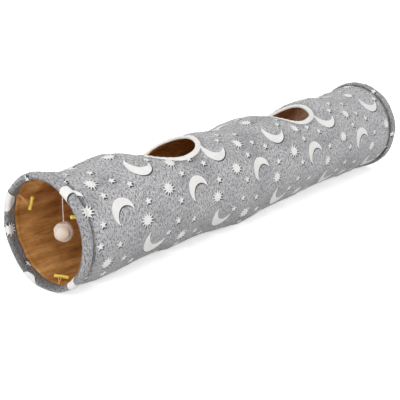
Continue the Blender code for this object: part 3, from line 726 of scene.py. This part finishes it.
def makeBinding(hole, name):
    tape, points = bindingTape, []
    for i in range(tape["count"]):
        turn = 2.0 * math.pi * i / tape["count"]
        spot = Vector((math.cos(turn) * tape["puckerScale"], math.sin(turn) * tape["puckerScale"], hole["x"]))
        pucker = tape["pucker"] * math.sin(turn * tape["stitches"]) + tape["pucker"] * noise.noise(spot)
        points += [rimPoint(hole, turn, out, lift + (pucker if lift > tape["puckerFrom"] else 0.0))
                   for out, lift in tape["path"]]
    return closedPiece(name, points, ringFaces(tape["count"], len(tape["path"])), tapeWhite)


liningLip = {"front": (72.0, 184.0, 0.0075), "rear": (100.0, 205.0, 0.0120), "thick": 0.0007, "steps": 48,
             "top": 0.0030, "topRise": 0.0034, "low": 0.0032, "topOut": -0.0023, "lowOut": -0.0016,
             "narrowest": 0.05, "wavy": 0.18, "wavyScale": 9.0}


def makeLip(hole, ends, name):  # the lining's edge, turned up over the tape on the slack side
    first, last, deep = ends
    lip, points = liningLip, []
    for i in range(lip["steps"] + 1):
        turn = math.radians(first + (last - first) * i / lip["steps"])
        share = max(math.sin(math.pi * i / lip["steps"]) ** 0.5, lip["narrowest"])
        wavy = 1.0 + lip["wavy"] * noise.noise(Vector((turn * lip["wavyScale"], 0, 3)))
        top, low = lip["top"] - lip["topRise"] * share, lip["low"] + (deep - lip["low"]) * share * wavy
        points += [rimPoint(hole, turn, out, -drop) for out, drop in (
            (lip["topOut"], top), (lip["topOut"] - lip["thick"], top),
            (lip["lowOut"] - lip["thick"], low), (lip["lowOut"], low))]
    return closedPiece(name, points, tubeFaces(lip["steps"] + 1, 4), litFilmLip)


bindings = {key: makeBinding(hole, key + "PeepholeBinding") for key, hole in peepholes.items()}
lips = {key: makeLip(hole, liningLip[key], key + "LiningLip") for key, hole in peepholes.items()}
print("bindings made")


# raised print: moons, bursts and stars, repeated along the cloth and round it
printRepeat = {"alongStep": 0.2446, "alongTurn": 3.6, "aroundStep": -0.010, "aroundTurn": 85.0,
               "along": range(-1, 6), "around": range(-3, 3), "noseSteps": 24, "bottomGap": 4.0, "sharp": 50.0,
               "thick": 0.0010, "shadeShare": 0.45, "sink": -0.0006, "holeMargin": 0.003, "widest": 0.04,
               "shellMargin": 0.0012, "cuffMargin": 0.0004, "insideMargin": 0.004}
printMotifs = [
    ("moon", -0.531, 66.6), ("mirrorMoon", -0.432, 33.5),
    ("burst", -0.567, 31.5), ("burst", -0.622, 58.5), ("burst", -0.460, 85.5),
    ("star", -0.622, 19.7), ("star", -0.536, 14.8), ("star", -0.511, 34.9), ("star", -0.476, 45.2),
    ("star", -0.559, 48.3), ("star", -0.592, 74.4), ("star", -0.448, 67.5), ("star", -0.605, 94.1),
]
mirrorMoonDrift = {1: 6.0, 2: 4.5, 3: 3.4, 4: -2.0}  # how far the cloth lets each repeat slip round
cuffMotifs = [("endMoon", -0.657, -67.0), ("burst", -0.664, -99.0), ("star", -0.680, -140.0),
              ("endMoon", -0.644, -156.0), ("star", -0.660, -20.0), ("moon", -0.650, 40.0),
              ("mirrorMoon", -0.660, 136.0)]
crescents = {
    "moon": {"outerMiddle": (0.007, 0.006), "outer": 0.0325, "innerMiddle": (0.0148, 0.0212), "inner": 0.0272},
    "mirrorMoon": {"outerMiddle": (0.014, -0.0135), "outer": 0.0335, "innerMiddle": (0.0245, -0.0325),
                   "inner": 0.0312},
    "endMoon": {"outerMiddle": (0.006, 0.0), "outer": 0.0260, "innerMiddle": (0.0262, -0.0060),
                "inner": 0.0218},
}
crescentSteps = {"along": 22, "across": 4}
burst = {"points": 12, "outer": (0.0198, 0.0178), "inner": 0.52, "steps": 2, "rings": 3, "sharp": 1.9}
star = {"points": 5, "outer": (0.0096, 0.0086), "inner": 0.42, "steps": 2, "rings": 2, "sharp": 1.3}


def crescentRows(shape):  # rows across the crescent, from one tip to the other
    ox, oy = shape["outerMiddle"]
    ix, iy = shape["innerMiddle"]
    outer, inner = shape["outer"], shape["inner"]
    steps, across = crescentSteps["along"], crescentSteps["across"]
    gap = math.hypot(ix - ox, iy - oy)
    toward = math.atan2(iy - oy, ix - ox)
    reachOuter = math.acos((gap ** 2 + outer ** 2 - inner ** 2) / (2 * gap * outer))
    reachInner = math.acos((outer ** 2 - gap ** 2 - inner ** 2) / (2 * gap * inner))
    rows = []
    for i in range(steps + 1):
        share = i / steps
        a = toward + reachOuter + (2 * math.pi - 2 * reachOuter) * share
        b = toward + reachInner + (2 * math.pi - 2 * reachInner) * share
        first = Vector((ox + outer * math.cos(a), oy + outer * math.sin(a)))
        second = Vector((ix + inner * math.cos(b), iy + inner * math.sin(b)))
        if i in (0, steps):
            first = second = (first + second) / 2
        rows.append([tuple(first.lerp(second, k / across)) for k in range(across + 1)])
    return rows


def radialRings(shape):
    around = shape["points"] * 2 * shape["steps"]
    rim = []
    for i in range(around):
        spike = i / shape["steps"]
        share = spike % 2.0
        slope = 1.0 - (share if share <= 1.0 else 2.0 - share)
        reach = shape["inner"] + (1.0 - shape["inner"]) * slope ** shape["sharp"]
        turn = math.pi * spike / shape["points"] - math.pi / 2
        rim.append((shape["outer"][0] * reach * math.cos(turn), shape["outer"][1] * reach * math.sin(turn)))
    rings = shape["rings"]
    return [[(x * k / rings, y * k / rings) for x, y in rim] for k in range(1, rings + 1)]


def flatMotif(kind):  # points and faces of one motif
    if kind in crescents:
        rows = crescentRows(crescents[kind])
        points = [rows[0][0]] + [p for row in rows[1:-1] for p in row] + [rows[-1][0]]
        size, last = len(rows[0]), 1 + (len(rows) - 2) * len(rows[0])
        faces = [(0, 1 + k, 2 + k) for k in range(size - 1)]
        for i in range(len(rows) - 3):
            a = 1 + i * size
            faces += [(a + k, a + size + k, a + size + k + 1, a + k + 1) for k in range(size - 1)]
        a = 1 + (len(rows) - 3) * size
        return points, faces + [(a + k, last, a + k + 1) for k in range(size - 1)]
    rings = radialRings(burst if kind == "burst" else star)
    points = [(0.0, 0.0)] + [p for ring in rings for p in ring]
    size = len(rings[0])
    faces = [(0, 1 + k, 1 + (k + 1) % size) for k in range(size)]
    for i in range(len(rings) - 1):
        a = 1 + i * size
        faces += [(a + k, a + size + k, a + size + (k + 1) % size, a + (k + 1) % size) for k in range(size)]
    return points, faces


def motifPlaces():
    r = printRepeat
    low = -tunnel["cuffEdge"] - r["insideMargin"]
    high = tunnel["cuffEdge"] + cuffLength() - r["insideMargin"] / 2
    for along in r["along"]:
        for around in r["around"]:
            for kind, x, degrees in printMotifs:
                u = x + along * r["alongStep"] + around * r["aroundStep"]
                turn = degrees + along * r["alongTurn"] + around * r["aroundTurn"]
                if kind == "mirrorMoon" and around == 0:
                    turn += mirrorMoonDrift.get(along, 0.0)
                if low < u < high and abs(turn) < 180.0 - r["bottomGap"]:
                    yield kind, u, math.radians(turn)
    for kind, u, degrees in cuffMotifs:
        yield kind, u, math.radians(degrees)


def printZones():  # the cloth's stretches, and what each one moves with
    edge, shellGap, cuffGap = tunnel["cuffEdge"], printRepeat["shellMargin"], printRepeat["cuffMargin"]
    reach = edge + cuffLength() - printRepeat["insideMargin"]
    return {"shell": (-edge + shellGap, edge - shellGap),
            "frontCuff": (-reach, -edge - cuffGap), "rearCuff": (edge + cuffGap, reach)}


def flatPrint(zone, shifts):  # every motif of one stretch, laid flat and cut at the stretch's ends
    low, high = zone
    work = bmesh.new()
    for kind, u, angle in motifPlaces():
        if u + printRepeat["widest"] < low or u - printRepeat["widest"] > high:
            continue
        if overHole(clothPoint(u, angle, 0.0), holeMargin):
            continue
        flat, top = flatMotif(kind)
        across, around = shifts.get(kind, (0.0, 0.0))
        made = [work.verts.new((u + across + x, angle * tunnel["radius"] + around + y, 0.0)) for x, y in flat]
        for face in top:
            work.faces.new([made[k] for k in face])
    cuts = [(low, -1.0), (high, 1.0)]
    if low * high > 0.0:  # short steps, so that the print bends round the cuff's nose
        steps = printRepeat["noseSteps"]
        cuts += [(low + (high - low) * k / steps, 0.0) for k in range(1, steps)]
    for edge, side in cuts:
        bmesh.ops.bisect_plane(work, geom=work.verts[:] + work.edges[:] + work.faces[:],
                               plane_co=(edge, 0, 0), plane_no=(side or 1.0, 0, 0), clear_outer=side != 0.0)
    bmesh.ops.recalc_face_normals(work, faces=work.faces)
    for face in work.faces:
        if face.normal.z < 0.0:
            face.normal_flip()
    return work


def makePrint(name, zone, material, lift, shifts):
    work = flatPrint(zone, shifts)
    everything = work.verts[:] + work.edges[:] + work.faces[:]
    raised = bmesh.ops.extrude_face_region(work, geom=everything, use_keep_orig=True)["geom"]
    tops = {v for v in raised if isinstance(v, bmesh.types.BMVert)}
    for vertex in work.verts:
        level = lift if vertex in tops else printRepeat["sink"]
        vertex.co = clothPoint(vertex.co.x, vertex.co.y / tunnel["radius"], level)
    bmesh.ops.recalc_face_normals(work, faces=work.faces)
    mesh = bpy.data.meshes.new(name)
    work.to_mesh(mesh)
    work.free()
    piece = linkPiece(name, mesh, material)
    margin = printRepeat["holeMargin"]
    for hole in peepholes.values() if zone[0] * zone[1] < 0.0 else ():
        cutter = addPrimitive(bpy.ops.mesh.primitive_cylinder_add, "holeCutter", vertices=64, radius=1.0,
                              depth=0.2, location=(hole["x"], 0, tunnel["axisHeight"] + tunnel["radius"]))
        cutter.scale = (hole["length"] / 2 + margin, hole["width"] / 2 + margin, 1.0)
        cutAway(piece, cutter)
    piece.data.shade_smooth()
    piece.data.set_sharp_from_angle(angle=math.radians(printRepeat["sharp"]))
    return piece


# painted shadow: each motif's dark copy is shifted towards the lower right, away from the light, and shows
# beside the pale print
printShadowShift = {"moon": (0.0018, 0.0030), "mirrorMoon": (0.0018, 0.0030), "endMoon": (0.0018, 0.0030),
              "burst": (0.0024, 0.0034), "star": (0.0026, 0.0036)}
prints = {}
for zoneName, zoneEnds in printZones().items():
    thick = printRepeat["thick"]
    prints[zoneName] = [
        makePrint(zoneName + "PalePrint", zoneEnds, printWhite, thick, {}),
        makePrint(zoneName + "PrintPaintedShadow", zoneEnds, printShadowPaint, thick * printRepeat["shadeShare"], printShadowShift)]
print("print made:", sum(len(piece.data.polygons) for pair in prints.values() for piece in pair), "faces")


# spring wire, its sleeve, and the caps on its tips
wire = {"depth": 0.00485, "radius": 0.0010, "sides": 8, "perTurn": 56, "inset": 0.062, "tipRise": 0.0008,
        "sleeveDepth": 0.00295, "sleeveThick": 0.0006, "sleeveWidth": 0.012, "sleeveShort": 2}
wireCap = {"length": 0.009, "overTip": 0.0045, "radius": 0.0016, "sides": 20, "round": 0.0006, "taper": 0.88}


def tubeAlong(name, rows, radius, sides, material):
    points = []
    side = None
    for i, middle in enumerate(rows):
        before, after = rows[max(i - 1, 0)], rows[min(i + 1, len(rows) - 1)]
        along = (after - before).normalized()
        if side is None:
            side = along.orthogonal().normalized()
        side = (side - along * side.dot(along)).normalized()
        up = along.cross(side)
        for k in range(sides):
            turn = 2.0 * math.pi * k / sides
            points.append(middle + (side * math.cos(turn) + up * math.sin(turn)) * radius)
    return closedPiece(name, points, tubeFaces(len(rows), sides), material)


def wireSpot(turn, depth, along=0.0):
    x = tunnel["firstTop"] + tunnel["turnLength"] * turn / (2.0 * math.pi) + along
    return place(x, turn, skinRadius(x, turn) - depth, depth)


def makeWire():
    first = (wire["inset"] - tunnel["end"] - tunnel["firstTop"]) / tunnel["turnLength"] * 2.0 * math.pi
    last = (tunnel["end"] - wire["inset"] - tunnel["firstTop"]) / tunnel["turnLength"] * 2.0 * math.pi
    count = int((last - first) / (2.0 * math.pi) * wire["perTurn"])
    turns = [first + (last - first) * i / count for i in range(count + 1)]
    rows = []
    for i, turn in enumerate(turns):  # the tips rise a little towards the plush, to hide their caps
        fromTip = min(i, count - i)
        rows.append(wireSpot(turn, wire["depth"] - wire["tipRise"] * max(1.0 - fromTip / 2, 0.0)))
    spring = tubeAlong("springWire", rows, wire["radius"], wire["sides"], steel)
    half, outer = wire["sleeveWidth"] / 2, wire["sleeveDepth"]
    inner = outer + wire["sleeveThick"]
    covered = turns[wire["sleeveShort"]:-wire["sleeveShort"]]
    points = [wireSpot(turn, depth, along) for turn in covered
              for depth, along in ((outer, -half), (outer, half), (inner, half), (inner, -half))]
    sleeve = closedPiece("wireSleeve", points, tubeFaces(len(covered), 4), tapeWhite)
    return spring, sleeve, {"front": (rows[0], rows[1]), "rear": (rows[-1], rows[-2])}


def makeWireCap(name, tip, before):  # a soft cap pushed over the wire's tip
    outward = (tip - before).normalized()
    cap = addPrimitive(bpy.ops.mesh.primitive_cylinder_add, name, vertices=wireCap["sides"],
                       radius=wireCap["radius"], depth=wireCap["length"])
    narrowRod(cap, lambda height: wireCap["taper"] if height > 0.0 else 1.0)
    applyModifier(cap, "BEVEL", width=wireCap["round"], segments=4, limit_method="ANGLE")
    placeRod(cap, tip + outward * (wireCap["length"] / 2 - wireCap["overTip"]), outward)
    coverWith(cap, capGrey)
    return cap


coil, sleeve, wireTips = makeWire()
wireCaps = {end: makeWireCap(end + "WireCap", *tips) for end, tips in wireTips.items()}
print("wire made")


# ball toys
toys = {"front": (-0.590, 0.0, 0.23974), "rear": (0.380, 0.05166, 0.23057)}  # where each one's strap hangs
toyBall = {"radius": 0.0225, "height": 0.11795, "settle": 0.0006, "lump": 0.0013, "lumpScale": 1.7,
           "dent": 0.0011, "dentToward": (-0.62, -0.45, 0.10), "dentAt": 0.45, "dentWidth": 0.10,
           "pile": 0.0006, "pileScale": 34.0, "dimple": 0.0030, "dimpleWidth": 0.05}
toyCord = {"radius": 0.00125, "steps": 60, "gap": 0.0003, "sunk": 0.0012}
toyKnot = {"ring": 0.0032, "ringSteps": 24, "thread": 0.0008, "sides": 8, "radius": 0.0028, "steps": 90,
           "turns": 3, "narrow": 0.12, "wrap": 1.15}
cordTwist = {"sides": 12, "depth": 0.20, "pitch": 1.3}


def twistedCord(name, path, radius, material):  # plies wound round each other
    sides, depth = cordTwist["sides"], cordTwist["depth"]
    piece = tubeAlong(name, path, radius, sides, material)
    reach = 0.0
    for i, middle in enumerate(path):
        if i:
            reach += (path[i] - path[i - 1]).length
        for k in range(sides):
            vertex = piece.data.vertices[i * sides + k]
            ply = 0.5 + 0.5 * math.cos(4.0 * math.pi * k / sides + reach / radius * cordTwist["pitch"])
            vertex.co = middle + (vertex.co - middle) * (1.0 - depth + depth * ply)
    return piece


def makeBall(name, middle, seed):  # soft lumps, short pile, and a dimple under the cord
    b = toyBall
    ball = addPrimitive(bpy.ops.mesh.primitive_ico_sphere_add, name, subdivisions=6, radius=b["radius"],
                        location=middle)
    bpy.ops.object.transform_apply(location=True)
    for vertex in ball.data.vertices:
        out = (vertex.co - middle).normalized()
        lumps = b["lump"] * noise.noise(out * b["lumpScale"] + Vector((seed, 0, 0)))
        lumps -= b["dent"] * lump(out.dot(Vector(b["dentToward"])), b["dentAt"], b["dentWidth"])
        pile = b["pile"] * noise.noise(out * b["pileScale"])
        dimple = -b["dimple"] * lump(1.0 - out.z, 0.0, b["dimpleWidth"])
        vertex.co += out * (lumps + pile - b["settle"] + dimple)
    coverWith(ball, ballPlush)
    return ball


def makeKnot(name, strap, middle):  # a ring through the strap and the cord's turns under it
    k = toyKnot
    ring = []
    for i in range(k["ringSteps"]):
        turn = 2.0 * math.pi * i / k["ringSteps"]
        ring.append(strap + Vector((0, math.sin(turn), math.cos(turn))) * k["ring"])
    knot = tubeAlong(name, ring + [ring[0]], k["thread"], k["sides"], toyCordPink)
    reach, rows = k["radius"] - k["thread"], []
    for i in range(k["steps"]):
        share = i / (k["steps"] - 1)
        turn = 2.0 * math.pi * k["turns"] * share
        wide = reach * math.sin(math.pi * (k["narrow"] + (1.0 - 2.0 * k["narrow"]) * share))
        height = (0.5 - share) * 2.0 * reach
        rows.append(middle + Vector((math.cos(turn) * wide, math.sin(turn) * wide, height)))
    wrap = tubeAlong(name + "Wrap", rows, k["thread"] * k["wrap"], k["sides"], toyCordPink)
    onlySelect(knot)
    wrap.select_set(True)
    bpy.ops.object.join()
    return knot


def makeToy(key, strapPlace):
    strap, down = Vector(strapPlace), Vector((0, 0, -1))
    knotMiddle = strap + down * (toyKnot["ring"] + toyKnot["radius"] / 2)
    ballMiddle = Vector((strap.x, strap.y, toyBall["height"]))
    ball = makeBall(key + "PlushBall", ballMiddle, key == "rear")
    top = knotMiddle + down * (toyKnot["radius"] + toyCord["gap"])
    bottom = ballMiddle - down * (toyBall["radius"] - toyCord["sunk"])
    path = [top.lerp(bottom, i / toyCord["steps"]) for i in range(toyCord["steps"] + 1)]
    cord = twistedCord(key + "ToyCord", path, toyCord["radius"], toyCordPink)
    [tuple(p) for p in path]
    knot = makeKnot(key + "ToyKnot", strap, knotMiddle)
    for piece, body, node, slotName in (
            (ball, "_toy", "_toy_ball", "ball_plush"), (cord, "_toy", "_toy_cord", "toy_cord"),
            (knot, "_toy_ring", "_toy_knot", "toy_cord")):
        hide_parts(key + node)
        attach(piece, key + body)


for toyKey, toyStrap in toys.items():
    makeToy(toyKey, toyStrap)
print("toys made")


# toggles and cord loops
fasten = {"cordRadius": 0.00125, "spacing": 0.006, "gap": 0.0003, "seamGap": 0.0007, "seamLift": 1.2,
          "seamSpacing": 0.0028, "leads": (1.1, 0.6), "bight": 0.004, "drop": 0.029, "farDrop": 0.62,
          "bottomRun": 0.75, "relaxSteps": 18, "seamHeld": 1, "heldBehind": 1.15,
          "steps": 120, "rearSteps": 100}
toggleBar = {"length": 0.036, "radius": 0.0043, "sides": 24, "round": 0.62, "cuts": 23, "waist": 0.14,
             "waistAt": 0.0085, "waistWidth": 0.0035, "holeGap": 0.0004, "holeDepth": 0.02, "sharp": 40.0}
toggles = {
    "far": {"degrees": -62.0, "bar": (0.0, 0.35, -0.94)},
    "near": {"degrees": 46.0, "bar": (0.80, -0.60, 0.0)},
    "bottom": {"degrees": 175.0, "through": (0.92, 0.39, 0.0)},
}
rearLoops = {"turn": 18.0, "wide": 0.9, "narrow": 0.8, "waistAt": 0.6, "shoulderAt": 0.3, "bottomRise": 0.0100}
section = {"flats": 27, "footHalf": 0.020}  # the frame's rings: even flats round them and a wide one underneath


def inwardOf(angle):
    return Vector((0, math.sin(angle), -math.cos(angle)))


def alongWall(angle):
    return Vector((0, math.cos(angle), math.sin(angle)))


def flatSpot(x, angle, radius):  # a place on one of the section's flats
    foot = math.asin(section["footHalf"] / tunnel["radius"])
    step = 2.0 * (math.pi - foot) / section["flats"]
    turn = math.radians(wrapDegrees(angle))
    index = math.floor((turn + math.pi - foot) / step)
    if abs(turn) > math.pi - foot:
        middle, half = math.copysign(math.pi, turn), foot
    else:
        middle, half = foot - math.pi + (index + 0.5) * step, step / 2
    reach = radius * math.cos(half) / math.cos(turn - middle)
    return Vector((x, -reach * math.sin(turn), tunnel["axisHeight"] + reach * math.cos(turn)))


def seamPoint(x, angle):
    return flatSpot(x, angle, tunnel["cuffInner"] + tunnel["plush"] / 2 - fasten["gap"])


def leaveSeam(start, angle, side):
    d = 2.0 * fasten["cordRadius"]
    straight = Vector((-side * d, 0, 0))
    return [start, start + straight / 2, start + straight,
            start + straight * 2.0 + inwardOf(angle) * d * fasten["seamLift"]]


def smoothRoute(points, steps):  # a curve through the points, in even steps
    rows = [points[0]] + list(points) + [points[-1]]
    fine = []
    for p0, p1, p2, p3 in zip(rows, rows[1:], rows[2:], rows[3:]):
        for i in range(12):
            t = i / 12
            fine.append((2.0 * p1 + (p2 - p0) * t + (2.0 * p0 - 5.0 * p1 + 4.0 * p2 - p3) * t ** 2
                         + (3.0 * p1 - p0 - 3.0 * p2 + p3) * t ** 3) / 2.0)
    fine.append(points[-1])
    reach = [0.0]
    for a, b in zip(fine, fine[1:]):
        reach.append(reach[-1] + (b - a).length)
    route = []
    for i in range(steps + 1):
        target = reach[-1] * i / steps
        k = next((n for n in range(1, len(reach)) if reach[n] >= target), len(reach) - 1)
        share = (target - reach[k - 1]) / max(reach[k] - reach[k - 1], 1e-9)
        route.append(fine[k - 1].lerp(fine[k], min(share, 1.0)))
    return route


def strandPath(start, angle, middle, through, spread):
    near = [middle - through * 2.0 * toggleBar["radius"] * share + spread for share in fasten["leads"]]
    along = alongWall(angle)
    seamSpread = along * math.copysign(fasten["seamSpacing"] / 2, along.dot(spread))
    out = [point + seamSpread for point in leaveSeam(start, angle, -1)]
    return out + near + [middle + spread, middle + through * fasten["bight"] + spread]


def loopRoute(start, angle, middle, through, bar):
    spread = bar * fasten["spacing"] / 2
    out = strandPath(start, angle, middle, through, spread)
    back = strandPath(start, angle, middle, through, -spread)
    corner = fasten["spacing"] / 2 * math.sqrt(0.5)
    bight = middle + through * fasten["bight"]
    bend = [bight + (bar + through) * corner, bight + through * fasten["spacing"] / 2,
            bight + (through - bar) * corner]
    return out + bend + back[::-1]


def relaxRoute(route, middle, through):  # a limp cord's turns open out, but not where the bar holds it
    ends = fasten["seamHeld"]
    for step in range(fasten["relaxSteps"]):
        eased = list(route)
        for i in range(ends, len(route) - ends):
            if (route[i] - middle).dot(through) < -toggleBar["radius"] * fasten["heldBehind"]:
                eased[i] = route[i].lerp((route[i - 1] + route[i + 1]) / 2, 0.5)
        route = eased
    return route


def routeLength(route):
    return sum((b - a).length for a, b in zip(route, route[1:]))


def cordPiece(name, route, node, body):
    cord = twistedCord(name, route, fasten["cordRadius"], loopTan)
    tuple(route[0])
    routeLength(route)
    [tuple(p) for p in route]
    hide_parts(node)
    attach(cord, body)


def makeBar(name, middle, bar, through):  # a rounded rod, waisted beside its two holes
    b = toggleBar
    rod = addPrimitive(bpy.ops.mesh.primitive_cylinder_add, name, vertices=b["sides"], radius=b["radius"],
                       depth=b["length"])
    applyModifier(rod, "BEVEL", width=b["radius"] * b["round"], segments=5, limit_method="ANGLE")
    narrowRod(rod, lambda height: 1.0 - b["waist"] * lump(abs(height), b["waistAt"], b["waistWidth"]),
              b["cuts"])
    placeRod(rod, middle, bar)
    for side in (-1, 1):
        drill = addPrimitive(bpy.ops.mesh.primitive_cylinder_add, "drill", vertices=b["sides"],
                             radius=fasten["cordRadius"] + b["holeGap"], depth=b["holeDepth"],
                             location=middle + bar * side * fasten["spacing"] / 2,
                             rotation=through.to_track_quat("Z", "Y").to_euler())
        cutAway(rod, drill)
    coverWith(rod, toggleYellow)
    rod.data.set_sharp_from_angle(angle=math.radians(b["sharp"]))
    return rod


def togglePlace(key):  # the bar's middle, the way it lies, and the way the cord passes through it
    data = toggles[key]
    angle = math.radians(data["degrees"])
    root = seamPoint(-tunnel["cuffEdge"], angle)
    drop = fasten["drop"]
    if key == "far":  # leans on the lining
        bar = Vector(data["bar"]).normalized()
        through = (Vector((1, 0, 0)) - bar * bar.x).normalized()
        middle = root + Vector((drop, 0, -drop * fasten["farDrop"]))
        return middle + inwardOf(angle) * 2.0 * toggleBar["radius"], bar, through
    if key == "near":  # hangs free
        through = Vector((0, 0, -1))
        return root + through * (drop + fasten["bight"] / 2), Vector(data["bar"]).normalized(), through
    through = Vector(data["through"]).normalized()  # lies on the floor of the mouth
    middle = root + through * drop * fasten["bottomRun"]
    low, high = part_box("bottom_toggle")
    middle.z = (low.z + high.z) / 2
    return middle, Vector((through.y, -through.x, 0)), through


def makeFastening(key):
    angle = math.radians(toggles[key]["degrees"])
    start = seamPoint(-tunnel["cuffEdge"] + fasten["seamGap"], angle)
    middle, bar, through = togglePlace(key)
    route = smoothRoute(loopRoute(start, angle, middle, through, bar), fasten["steps"])
    cordPiece(key + "ToggleLoop", relaxRoute(route, middle, through), key + "_toggle_cord", key + "_fastening")
    piece = makeBar(key + "ToggleBar", middle, bar, through)
    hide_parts(key + "_toggle")
    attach(piece, key + "_fastening")


def makeRearLoop(key, angle, reach, spread):
    start = seamPoint(tunnel["cuffEdge"] - fasten["seamGap"], angle)
    tip = seamPoint(tunnel["cuffEdge"], angle) + reach
    along = alongWall(angle)
    side = along * math.copysign(fasten["seamSpacing"] / 2, along.dot(spread))
    wide = spread * fasten["spacing"] * rearLoops["wide"]
    narrow = wide * rearLoops["narrow"]
    waist = start.lerp(tip, rearLoops["waistAt"]) + inwardOf(angle) * 2.0 * fasten["cordRadius"]
    shoulder = tip.lerp(waist, rearLoops["shoulderAt"])
    out = [point + side for point in leaveSeam(start, angle, 1)]
    back = [point - side for point in leaveSeam(start, angle, 1)]
    points = out + [waist + wide, shoulder + narrow, tip, shoulder - narrow, waist - wide] + back[::-1]
    cordPiece(key + "RearLoop", smoothRoute(points, fasten["rearSteps"]), key + "_rear_loop", key + "_loop")


for toggleKey in toggles:
    makeFastening(toggleKey)
alongX = Vector((1, 0, 0))
rearOffset = math.radians(rearLoops["turn"])
for loopKey in ("far", "near"):
    hanging = Vector((-fasten["drop"] / 3, 0, -fasten["drop"]))
    makeRearLoop(loopKey, math.radians(toggles[loopKey]["degrees"]) + rearOffset, hanging, alongX)
bottomAngle = rearOffset - math.pi
lying = inwardOf(bottomAngle) * rearLoops["bottomRise"] - alongX * fasten["drop"]
makeRearLoop("bottom", bottomAngle, lying, alongWall(bottomAngle))
print("fastenings made")


def finishCloth(piece, node, slotName, body="front_end", squashed=True):
    if node:
        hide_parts(node)
    if squashed:
        squashAlong(piece)
    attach(piece, body)


for piece, node, slotName in (
        (shell, "outer_shell", "plush"), (liner, "inner_liner", "film"),
        (coil, "spiral_wire", "spring_steel"), (sleeve, "spiral_sleeve", "tape")):
    finishCloth(piece, node, slotName)
for end, cap in wireCaps.items():
    finishCloth(cap, end + "_wire_cap", "cap_plastic")
for end in peepholes:
    finishCloth(bindings[end], end + "_peephole_binding", "tape")
    finishCloth(lips[end], None, "film")
for printed in prints["shell"]:
    finishCloth(printed, None, "plush")
for end, cuff in (("front", frontCuff), ("rear", rearCuff)):
    finishCloth(cuff, end + "_cuff", "plush", end + "_end", False)
    for printed in prints[end + "Cuff"]:
        finishCloth(printed, None, "plush", end + "_end", False)

for end in ("front", "rear"):
    for node, material in (("_hoop", steel), ("_hoop_ferrule", steel), ("_toy_tab", tapeWhite)):
        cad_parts[end + node].material_slots[0].material = material
print("pieces tied to the frame")


# floor, light and backdrop
studio = {"floorSize": 12.0, "floorLevel": -0.0005, "floorColour": (0.86, 0.86, 0.86), "floorGlow": 0.62,
          "world": 0.75, "aim": (-0.15, 0, 0.12),
          "lamps": {"key": {"power": 22.0, "size": 2.4, "place": (-1.6, -1.2, 2.6)},
                    "fill": {"power": 14.0, "size": 1.4, "place": (-2.7, -1.0, 1.3)}}}


def seenBy(tree, *rays):  # 1 for these rays, so that the backdrop's white puts no light on the object
    paths = newNode(tree, "LightPath")
    seen = newNode(tree, "Math")
    seen.operation = "MAXIMUM"
    for ray, socket in zip(rays, seen.inputs):
        tree.links.new(paths.outputs[ray], socket)
    return seen.outputs[0]


def makeFloor(setup):
    floor = addPrimitive(bpy.ops.mesh.primitive_plane_add, "studioFloor", size=setup["floorSize"],
                         location=(0, 0, setup["floorLevel"]))
    made, tree, shader = startMaterial("paleFloor", setup["floorColour"], 0.9)
    glow = newNode(tree, "Math")
    glow.operation = "MULTIPLY"
    glow.inputs[1].default_value = setup["floorGlow"]
    tree.links.new(seenBy(tree, "Is Camera Ray", "Is Glossy Ray"), glow.inputs[0])
    tree.links.new(glow.outputs[0], shader.inputs["Emission Strength"])
    shader.inputs["Emission Color"].default_value = (1, 1, 1, 1)
    floor.data.materials.append(made)


def makeBackdrop(setup):
    world = bpy.data.worlds.new("studioWorld")
    bpy.context.scene.world = world
    world.use_nodes = True
    tree = world.node_tree
    back = tree.nodes["Background"]
    back.inputs["Color"].default_value = (1, 1, 1, 1)
    blend = newNode(tree, "Mix")
    blend.inputs[2].default_value = setup["world"]
    blend.inputs[3].default_value = 1.0
    tree.links.new(seenBy(tree, "Is Camera Ray", "Is Transmission Ray"), blend.inputs[0])
    tree.links.new(blend.outputs[0], back.inputs["Strength"])


def makeLamps(setup):
    for name, lamp in setup["lamps"].items():
        light = bpy.data.lights.new(name + "Light", "AREA")
        light.energy, light.size = lamp["power"], lamp["size"]
        hung = bpy.data.objects.new(name + "Light", light)
        bpy.context.scene.collection.objects.link(hung)
        hung.location = lamp["place"]
        aim = Vector(setup["aim"]) - hung.location
        hung.rotation_euler = aim.to_track_quat("-Z", "Y").to_euler()


makeFloor(studio)
makeBackdrop(studio)
makeLamps(studio)
bpy.context.scene.view_settings.view_transform = "Standard"
print("studio made")
